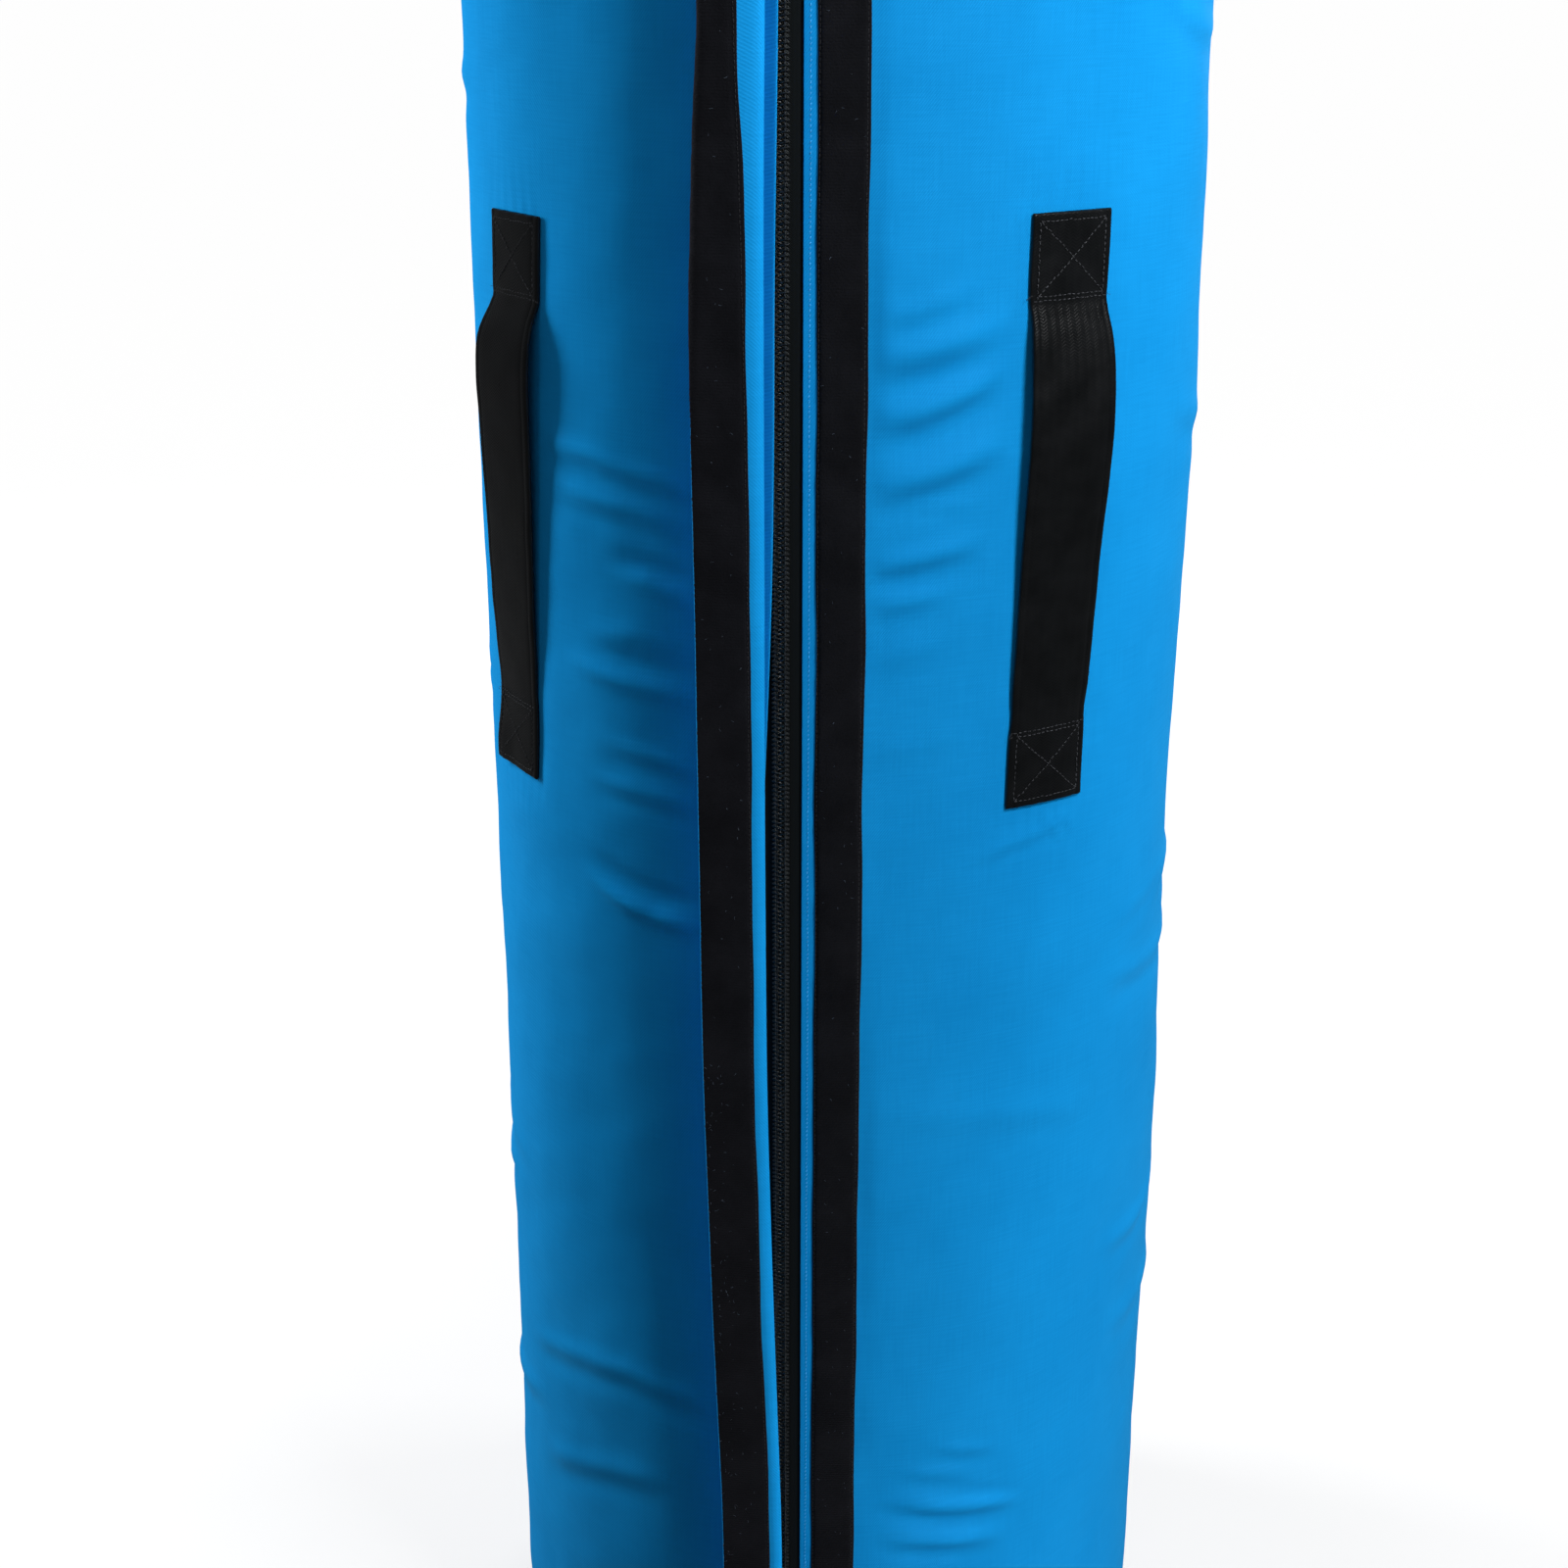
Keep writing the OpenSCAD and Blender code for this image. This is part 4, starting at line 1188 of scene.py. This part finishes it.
def loop_strip():
    prof = strip_profile(25.0, 1.8)
    z = np.concatenate([[FLAP_Z0], [FLAP_Z0 + 0.6], np.arange(FLAP_Z0 + 2, FLAP_Z1 - 2, 3.1), [FLAP_Z1 - 0.6], [FLAP_Z1]])
    X, Zg = np.meshgrid(prof[:, 0], z)
    H = np.broadcast_to(prof[:, 1][None], X.shape).copy()
    pile = smooth(H, 1.35, 1.7)
    H = H - 0.07 + 0.07 * pile * pile_wave(X, Zg)
    endr = smooth(np.minimum(Zg - FLAP_Z0, FLAP_Z1 - Zg), -0.01, 1.2)
    H = H * (0.35 + 0.65 * endr)
    S = 30.5 + X + 0.22 * edge_wave(X * 0.1 + 3, Zg) * np.abs(X) / 12.5
    ang = np.arcsin(np.clip(S / (R + H), -1, 1))
    D = cover_d(ang * R, Zg) * smooth(S, 36, 44)
    V = at(ang * R, Zg, R + 0.1 + np.maximum(H, 0) + D)
    n, k = X.shape
    f = grid_faces(n, k, close_m=True)
    caps = []
    for base in (0, (n - 1) * k):
        for i in range(1, k - 1):
            caps.append([base, base + i, base + i + 1] if not base else [base, base + i + 1, base + i])
    uv = np.stack([X, Zg], -1).reshape(-1, 2)
    ob = build("loop_strip_pile", V.reshape(-1, 3), [f, np.array(caps)], loop_m, uv=uv)
    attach(ob, "bag")
    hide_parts("loop_strip")

    def place(x, z, h):
        ang = np.arcsin((30.5 + x) / (R + 2))
        return at(ang * R, z, R + 0.1 + h), np.stack([np.sin(ang) + 0 * z, -np.cos(ang) + 0 * z, 0 * z], -1)
    return place


def hook_strip():
    prof = strip_profile(29.9, 1.2)
    a_mid = (arc_at(-35.3) + arc_at(-5.45)) / 2
    z = np.concatenate([[FLAP_Z0 + 1], [FLAP_Z0 + 1.6], np.arange(FLAP_Z0 + 3, FLAP_Z1 - 3, 3.1), [FLAP_Z1 - 1.6], [FLAP_Z1 - 1]])
    X, Zg = np.meshgrid(prof[:, 0], z)
    H = np.broadcast_to(prof[:, 1][None], X.shape).copy()
    pile = smooth(H, 0.9, 1.15)
    H = H - 0.05 + 0.05 * pile * pile_wave(X + 40, Zg)
    S_arc = a_mid - X + 0.18 * edge_wave(X * 0.1 + 50, Zg) * np.abs(X) / 15
    # the flap's back side is where its normal points away from the reader, so the pile goes the other way
    s, h = flap_pos(F_LINE, F_NRM, F_DIST, S_arc, -(FLAP_T / 2 + 0.04 + np.maximum(H, 0)), Zg)
    V = front(s, h, Zg)
    n, k = X.shape
    f = grid_faces(n, k, close_m=True)
    caps = []
    for base in (0, (n - 1) * k):
        for i in range(1, k - 1):
            caps.append([base, base + i, base + i + 1] if not base else [base, base + i + 1, base + i])
    uv = np.stack([X, Zg], -1).reshape(-1, 2)
    ob = build("hook_strip_pile", V.reshape(-1, 3), [f, np.array(caps)], hook_m, uv=uv)
    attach(ob, "flap_edge")
    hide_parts("hook_strip")

    def place(x, z, h):
        s, hh = flap_pos(F_LINE, F_NRM, F_DIST, a_mid - x + 0 * z, -(FLAP_T / 2 + 0.04 + h), z)
        return front(s, hh, z)
    return place, a_mid


loop_place = loop_strip()
hook_place, A_MID = hook_strip()

# ------------------------------------------------------------------ seams
zs = np.arange(Z0 + 2, Z1 - 1.5, 1.2)
parts = Parts()
for sgn, seed in ((1, 1), (-1, 2)):
    u0 = sgn * 14.4 + 0.12 * np.sin(zs / 37.0)
    line = at(u0, zs, R + cover_d(u0, zs) + 0.10)
    ups = np.stack([np.sin(u0 / R), -np.cos(u0 / R), 0 * zs], -1)
    row_of_stitches(parts, line, ups, 2.5, 0.66, 0.27, seed, slant=0.42)
for zz, seed in ((Z0 - 3.2, 3), (Z1 + 3.2, 4)):
    uu = np.linspace(-14.4, 14.4, 40)
    line = at(uu, zz, R + cover_d(uu, np.full(40, zz)) + 0.10)
    ups = np.stack([np.sin(uu / R), -np.cos(uu / R), 0 * uu], -1)
    row_of_stitches(parts, line, ups, 2.5, 0.80, 0.21, seed)
# a second row along the end seams, and the flap's root seam
for zz, seed in ((11.2, 7), (1481.0, 8)):
    uu = np.linspace(-GIRTH / 2, GIRTH / 2, 1400)
    line = at(uu, zz, R + cover_d(uu, np.full(1400, zz)) + 0.08)
    ups = np.stack([np.sin(uu / R), -np.cos(uu / R), 0 * uu], -1)
    row_of_stitches(parts, line, ups, 3.0, 0.78, 0.2, seed)
zf = np.arange(FLAP_Z0 + 2, FLAP_Z1 - 1.5, 1.5)
for s0, seed in ((-17.0, 9), (-22.6, 10)):
    ss = s0 + 0 * zf
    drop = R - math.sqrt(R * R - s0 * s0)
    line = front(ss, 0.85 + FLAP_T / 2 + 0.10 - drop, zf)
    ups = np.broadcast_to([0, -1.0, 0], line.shape)
    row_of_stitches(parts, line, ups, 2.6, 0.80, 0.2, seed)
seam = parts.done("cover_topstitching", blue_thread_m)
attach(seam, "bag")

parts = Parts()
for x0, seed in ((-11.4, 12), (11.4, 13)):
    p, n_ = loop_place(x0 + 0 * zf, zf, 1.02)
    row_of_stitches(parts, p, n_, 2.6, 0.80, 0.2, seed)
ob = parts.done("loop_strip_stitching", strip_thread_m)
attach(ob, "bag")

parts = Parts()
for x0, seed in ((-13.9, 14), (13.9, 15)):
    p = hook_place(x0 + 0 * zf, zf, 0.70)
    row_of_stitches(parts, p, np.broadcast_to([0, -1.0, 0], p.shape), 2.6, 0.80, 0.2, seed)
ob = parts.done("hook_strip_stitching", strip_thread_m)
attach(ob, "flap_edge")

parts = Parts()
for x0, seed in ((-13.9, 16), (13.9, 17)):
    s, h = flap_pos(F_LINE, F_NRM, F_DIST, A_MID - x0 + 0 * zf, FLAP_T / 2 + 0.08, zf)
    p = front(s, h, zf)
    row_of_stitches(parts, p, np.broadcast_to([0, 1.0, 0], p.shape), 2.6, 0.80, 0.2, seed)
ob = parts.done("storm_flap_stitching", blue_thread_m)
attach(ob, "flap_edge")


# ------------------------------------------------------------------ handles
_lift_z = np.array([-170, -112.0, -104, -92, -75, -59, -14, 16, 45, 66, 82, 94, 102, 107, 111.5, 170])
_lift_h = np.array([0, 0.0, 0.35, 1.1, 2.0, 2.8, 4.7, 6.1, 7.6, 8.5, 8.4, 6.9, 3.6, 1.0, 0.0, 0])
_lift_soft = np.array([0, 0.0, 0.35, 1.1, 2.0, 2.8, 5.3, 7.6, 8.9, 8.3, 6.9, 4.9, 3.0, 1.2, 0.0, 0])


def strap_lift(z, name):
    """How far the strap's inner face stands off the cover, in mm: slack, and fullest below its upper end."""
    dz = np.asarray(z, float) - STRAP_Z
    acc = 0.0
    for off, wt in ((-7, 0.12), (-3.5, 0.23), (0, 0.30), (3.5, 0.23), (7, 0.12)):
        acc = acc + wt * np.interp(dz + off, _lift_z, _lift_soft if name == "front_right" else _lift_h)
    acc = acc * smooth(112.5 - np.abs(dz), 0, 4)
    return 0.1 + acc, smooth(acc, 0.0, 5.0)


def strap_point(name, x, z, up):
    """A point of a strap: x across it, z its height, up above its inner face."""
    u0 = handle_arc(name, z)
    lift, flat = strap_lift(z, name)
    a0 = u0 / R
    x_in = x * (1 - 0.035 * np.exp(-((np.abs(z - STRAP_Z) - (STRAP_L / 2 - SEWN - 6)) / 9.0) ** 2))
    cup = 0.0012 * x * x * flat
    lift = lift * (1 + TILT[name] * x / 9.0)
    # the free corner of the lowest end of this strap stands off
    if name == "front_left":
        lift = lift + 2.6 * smooth(-x, 2, 25) * smooth(STRAP_Z - z, 112, 150)
    x = x_in
    # curved round the bag at the sewn ends, and nearly flat where it stands off
    ang = a0 + x / (R + lift)
    tab = cover_d(wrap(u0 + x), z + HIGHER[name]) * (1 - flat)
    r_c = R + lift + up + tab
    zh = z + HIGHER[name]
    pc = np.stack([r_c * np.sin(ang), -r_c * np.cos(ang), zh + 0 * x], -1)
    nf = np.stack([np.sin(a0), -np.cos(a0), 0 * z], -1)
    tf = np.stack([np.cos(a0), np.sin(a0), 0 * z], -1)
    pf = nf * (R + lift + up - cup)[..., None] + tf * (x + 0 * z)[..., None]
    pf[..., 2] = zh
    w = (0.88 * flat)[..., None]
    return (pc * (1 - w) + pf * w) * MM


web_wave = waves(71, 10, 18, 60)
SPLIT_Z = 46.0        # the two halves of a strap meet this far above its middle


def strap_half(name, part, z, node, cap_low, cap_high):
    w, t = STRAP_W / 2, STRAP_T
    xs = np.array([-w + 0.35, -w + 1.0, -w + 2.4, -w + 3.5, -w + 4.2, -w + 4.9, -w + 6.4] + list(np.linspace(-w + 9, w - 9, 9))
                  + [w - 6.4, w - 4.9, w - 4.2, w - 3.5, w - 2.4, w - 1.0, w - 0.35])
    topu = np.full(len(xs), t)
    topu[[4, -5]] -= 0.30
    topu[[3, 5, -4, -6]] -= 0.10
    topu[[0, -1]] -= 0.32
    topu[[1, -2]] -= 0.06
    ring_x = np.concatenate([[-w - 0.0], xs, [w + 0.0], xs[::-1][::2]])
    low = np.zeros(len(xs[::-1][::2]))
    low[0] = low[-1] = 0.30
    ring_u = np.concatenate([[t * 0.5], topu, [t * 0.5], low])
    X, Zg = np.meshgrid(ring_x, z)
    Ug = np.broadcast_to(ring_u[None], X.shape).copy()
    seed = {"front_left": 0, "front_right": 300, "back_right": 600, "back_left": 900}[name]
    _, flat = strap_lift(Zg, name)
    Ug = Ug + 0.10 * web_wave(X + seed, Zg) * smooth(Ug, 1.5, 2.4)
    wob = 0.35 * np.sin(Zg / 31.0 + seed) * flat
    # the ends are turned under, so they are a little fuller
    endt = np.clip((STRAP_L / 2 - np.abs(Zg - STRAP_Z)) / 1.4, 0, 1)
    full = np.sqrt(np.clip(1 - (1 - endt) ** 2, 0.0, 1))
    Ug = t * 0.5 + (Ug - t * 0.5) * (0.12 + 0.88 * full)
    V = strap_point(name, X + wob, Zg, Ug)
    n, k = X.shape
    f = grid_faces(n, k, close_m=True)
    caps = []
    rows = ([0] if cap_low else []) + ([n - 1] if cap_high else [])
    for r_ in rows:
        base = r_ * k
        for i in range(1, k - 1):
            caps.append([base, base + i, base + i + 1] if not base else [base, base + i + 1, base + i])
    uv = np.stack([X + np.where(np.broadcast_to(np.arange(k)[None], X.shape) > len(xs) + 1, 100.0, 0.0), Zg], -1).reshape(-1, 2)
    faces = [f] + ([np.array(caps)] if caps else [])
    ob = build("handle_%s_%s" % (name, part), V.reshape(-1, 3), faces, web_m, uv=uv)
    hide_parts(node)
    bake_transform(ob)
    return ob


for name in HANDLES:
    half_l = STRAP_L / 2
    end_z = np.array([0, 0.25, 0.7, 1.3, 2.2])
    lowz = np.concatenate([STRAP_Z - half_l + end_z, np.arange(STRAP_Z - half_l + 4, STRAP_Z + SPLIT_Z - 0.5, 2.0), [STRAP_Z + SPLIT_Z]])
    highz = np.concatenate([STRAP_Z + half_l - end_z, np.arange(STRAP_Z + half_l - 4, STRAP_Z + SPLIT_Z + 0.5, -2.0), [STRAP_Z + SPLIT_Z]])[::-1]
    strap_half(name, "strap_lower", lowz, "handle_%s_ends" % name, True, False)
    strap_half(name, "strap_upper", highz, "handle_%s_grip" % name, False, True)
    # box and cross of stitches at each sewn end, and a double row where the strap leaves it
    parts = Parts()
    for end in (-1, 1):
        zo = STRAP_Z + end * (half_l - 4.0)
        zi = STRAP_Z + end * (half_l - SEWN + 2.0)
        zi2 = STRAP_Z + end * (half_l - SEWN + 4.2)
        x0 = STRAP_W / 2 - 4.2
        paths = [
            [(-x0, zo), (x0, zo)], [(x0, zo), (x0, zi)], [(-x0, zo), (-x0, zi)],
            [(-x0 - 3, zi), (x0 + 3, zi)], [(-x0, zi2), (x0, zi2)],
            [(-x0, zo), (x0, zi2)], [(x0, zo), (-x0, zi2)],
        ]
        for q, (p0, p1) in enumerate(paths):
            t = np.linspace(0, 1, 40)
            x = p0[0] + (p1[0] - p0[0]) * t
            z = p0[1] + (p1[1] - p0[1]) * t
            sunk = 0.14 if q in (1, 2) else -0.02
            line = strap_point(name, x, z, np.full(40, STRAP_T + 0.10 - sunk))
            a0 = handle_arc(name, z) / R + x / R
            ups = np.stack([np.sin(a0), -np.cos(a0), 0 * a0], -1)
            row_of_stitches(parts, line, ups, 2.8, 0.72, 0.27, seed=q + 20, jitter=0.25)
    # loose thread ends
    rng = np.random.RandomState(int(abs(HANDLES[name])))
    for end in (-1, 1):
        for _ in range(2):
            sx = rng.choice([-1, 1]) * (STRAP_W / 2 - 1.0)
            zz0 = STRAP_Z + end * (half_l - SEWN + rng.uniform(1, 5))
            p0 = strap_point(name, np.array([sx]), np.array([zz0]), np.array([STRAP_T + 0.1]))[0]
            a0 = float(handle_arc(name, zz0) / R)
            tf = np.array([math.cos(a0), math.sin(a0), 0]) * (1 if sx > 0 else -1)
            nf = np.array([math.sin(a0), -math.cos(a0), 0])
            tt = np.linspace(0, 1, 9)[:, None]
            path = p0 + tf * tt * rng.uniform(2.0, 4.5) * MM + nf * (0.4 * np.sin(tt * 3)) * MM + np.array([0, 0, 1]) * (rng.uniform(-2.4, 0.4) * tt ** 2) * MM
            tube(parts, path, 0.12 * MM, 5)
    ob = parts.done("handle_%s_stitching" % name, black_thread_m)
    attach(ob, "bag")

# ------------------------------------------------------------------ lint and thread ends on the black pile
rng = np.random.RandomState(77)
parts = Parts()
for k in range(230):
    low = rng.rand() < 0.72
    z = rng.uniform(60, 520) if low else rng.uniform(520, 1380)
    x = rng.uniform(-11, 11)
    if low and rng.rand() < 0.6:
        x = rng.uniform(-13, -2)
    p = hook_place(np.array([x]), np.array([z]), 1.12)[0]
    L = rng.uniform(0.5, 1.9) * MM
    a = rng.uniform(0, TAU)
    d = np.array([math.cos(a), 0, math.sin(a)])
    t = np.linspace(-1, 1, 5)[:, None]
    bend = np.array([-d[2], 0, d[0]]) * rng.uniform(-0.4, 0.4)
    path = p + (d * t + bend * t ** 2) * L / 2 + np.array([0, -0.08, 0]) * MM
    tube(parts, path, rng.uniform(0.05, 0.11) * MM, 4)
lint = parts.done("hook_strip_lint", lint_m)
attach(lint, "flap_edge")

parts = Parts()
for k in range(110):
    z = rng.uniform(60, 1380)
    x = rng.uniform(-10, 10)
    q, _ = loop_place(np.array([x]), np.array([z]), 1.68)
    p = q[0]
    L = rng.uniform(0.5, 1.6) * MM
    a = rng.uniform(0, TAU)
    d = np.array([math.cos(a), 0, math.sin(a)])
    t = np.linspace(-1, 1, 5)[:, None]
    bend = np.array([-d[2], 0, d[0]]) * rng.uniform(-0.4, 0.4)
    path = p + (d * t + bend * t ** 2) * L / 2 + np.array([0, -0.08, 0]) * MM
    tube(parts, path, rng.uniform(0.05, 0.10) * MM, 4)
lint2 = parts.done("loop_strip_lint", lint_m)
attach(lint2, "bag")

# ------------------------------------------------------------------ carried-over CAD pieces
foam_core_m = foam("core_foam_cells", (0.50, 0.44, 0.30), (0.66, 0.60, 0.44))
foam_wrap_m = foam("wrap_foam_cells", (0.68, 0.63, 0.50), (0.84, 0.80, 0.68), 200.0)
wood_m = wood("base_board_ply")
sand_m = sand("ballast_canvas")
for node, mat in (("zip_slider", metal_m), ("zip_puller", metal_m), ("zip_end_stops", metal_m),
                  ("foam_core", foam_core_m), ("foam_wrap", foam_wrap_m), ("top_pad", foam_wrap_m),
                  ("base_board", wood_m), ("ballast_bag", sand_m)):
    o = nodes[node]
    if not o.data.materials:
        o.data.materials.append(mat)
    for i in range(len(o.material_slots)):
        o.material_slots[i].link = "OBJECT"
        o.material_slots[i].material = mat
for node in ("zip_slider", "zip_puller", "zip_end_stops"):
    o = nodes[node]
    bev = o.modifiers.new("soft_edges", "BEVEL")
    bev.width = 0.00035
    bev.segments = 3
    bev.limit_method = "ANGLE"
    bev.angle_limit = math.radians(35)
    bev.harden_normals = False
for node in ("cover_panel", "cover_top", "cover_base", "top_piping", "base_piping", "zip_tape_left", "zip_tape_right",
             "zip_coil_left", "zip_coil_right", "storm_flap_inner", "storm_flap_outer", "hook_strip", "loop_strip"):
    o = nodes[node]
    mat = {"cover_base": vinyl_m, "top_piping": pipe_m, "base_piping": pipe_m, "zip_tape_left": tape_m,
           "zip_tape_right": tape_m, "zip_coil_left": coil_m, "zip_coil_right": coil_m, "hook_strip": hook_m,
           "loop_strip": loop_m}.get(node, cloth_m)
    for i in range(len(o.material_slots)):
        o.material_slots[i].link = "OBJECT"
        o.material_slots[i].material = mat

# ------------------------------------------------------------------ floor and light
floor_m = Mat("pale_floor")
fn = floor_m.noise(floor_m.obj(), 3.0, 4.0, 0.6)
away = floor_m.n("TexGradient", gradient_type="SPHERICAL")       # 1 under the bag, 0 far away
floor_m.put(away.inputs[0], floor_m.map(floor_m.obj(), scale=(0.27, 0.27, 0.27)))
floor_m.set(Base_Color=floor_m.mix(fn, (0.17, 0.17, 0.17), (0.19, 0.19, 0.19)), Roughness=0.9,
            Emission_Color=(1.0, 1.0, 1.0), Emission_Strength=floor_m.remap(away.outputs["Fac"], 0.35, 0.90, 0.97, 0.70))
floor_m.set(Specular_IOR_Level=0.05)
# seen from below the floor is clear, so that the underside of the bag shows
below = floor_m.n("NewGeometry").outputs["Backfacing"]
clear = floor_m.n("BsdfTransparent")
one_side = floor_m.n("MixShader")
floor_m.put(one_side.inputs[0], below)
floor_m.put(one_side.inputs[1], floor_m.b.outputs[0])
floor_m.put(one_side.inputs[2], clear.outputs[0])
floor_m.put(floor_m.out.inputs[0], one_side.outputs[0])
floor = build("floor", np.array([[-30, -30, -0.0006], [30, -30, -0.0006], [30, 60, -0.0006], [-30, 60, -0.0006]]),
              [np.array([[0, 1, 2, 3]])], floor_m.m)
floor.visible_diffuse = False      # the pale floor shows, and the lamps alone light the bag
floor.visible_glossy = False

world = bpy.data.worlds.new("studio")
scene.world = world
world.use_nodes = True
wn = world.node_tree
wn.nodes.clear()
wo = wn.nodes.new("ShaderNodeOutputWorld")
bg = wn.nodes.new("ShaderNodeBackground")
bg.inputs[0].default_value = (1.0, 1.0, 1.0, 1.0)
bg.inputs[1].default_value = 0.10
seen = wn.nodes.new("ShaderNodeBackground")
seen.inputs[0].default_value = (1.0, 1.0, 1.0, 1.0)
seen.inputs[1].default_value = 0.985
path_n = wn.nodes.new("ShaderNodeLightPath")
mixer = wn.nodes.new("ShaderNodeMixShader")
wn.links.new(path_n.outputs["Is Camera Ray"], mixer.inputs[0])
wn.links.new(bg.outputs[0], mixer.inputs[1])
wn.links.new(seen.outputs[0], mixer.inputs[2])
wn.links.new(mixer.outputs[0], wo.inputs[0])


def area(name, azimuth, dist, height, size, power, aim=0.75, colour=(1, 1, 1)):
    """A softbox at an azimuth from -Y towards +X, in degrees."""
    a = math.radians(azimuth)
    data = bpy.data.lights.new(name, "AREA")
    data.shape = "RECTANGLE"
    data.size, data.size_y = size
    data.energy = power
    data.color = colour
    o = bpy.data.objects.new(name, data)
    o.location = (dist * math.sin(a), -dist * math.cos(a), height)
    d = Vector((0, 0, aim)) - o.location
    o.rotation_euler = d.to_track_quat("-Z", "Y").to_euler()
    scene.collection.objects.link(o)
    return o


key = area("key", 46, 1.45, 1.95, (0.42, 0.42), 22.5, 1.15)
top = area("key_top", 44, 1.02, 1.42, (0.4, 0.3), 6.0, 1.08)
low = area("key_low", 44, 0.88, 0.05, (0.35, 0.2), 4.1, 0.12)
left = area("left_top", -36, 0.95, 1.62, (0.3, 0.3), 1.5, 1.10)
side = area("side", 112, 1.6, 1.45, (0.5, 1.2), 26, 1.0)
rim = area("rim", -102, 1.6, 1.40, (0.4, 1.0), 44, 1.0)
rim_low = area("rim_low", -106, 1.6, 0.4, (0.4, 0.6), 6, 0.4)
fill = area("fill", 2, 3.0, 1.7, (1.4, 1.0), 9, 0.8)
back = area("back", 170, 2.4, 1.7, (1.0, 1.2), 40, 0.8)
for o in (top, low, left, side, rim, rim_low, fill):
    o.visible_glossy = False

scene.view_settings.view_transform = "Standard"
scene.view_settings.look = "None"
scene.view_settings.exposure = 0.0
scene.view_settings.gamma = 1.0
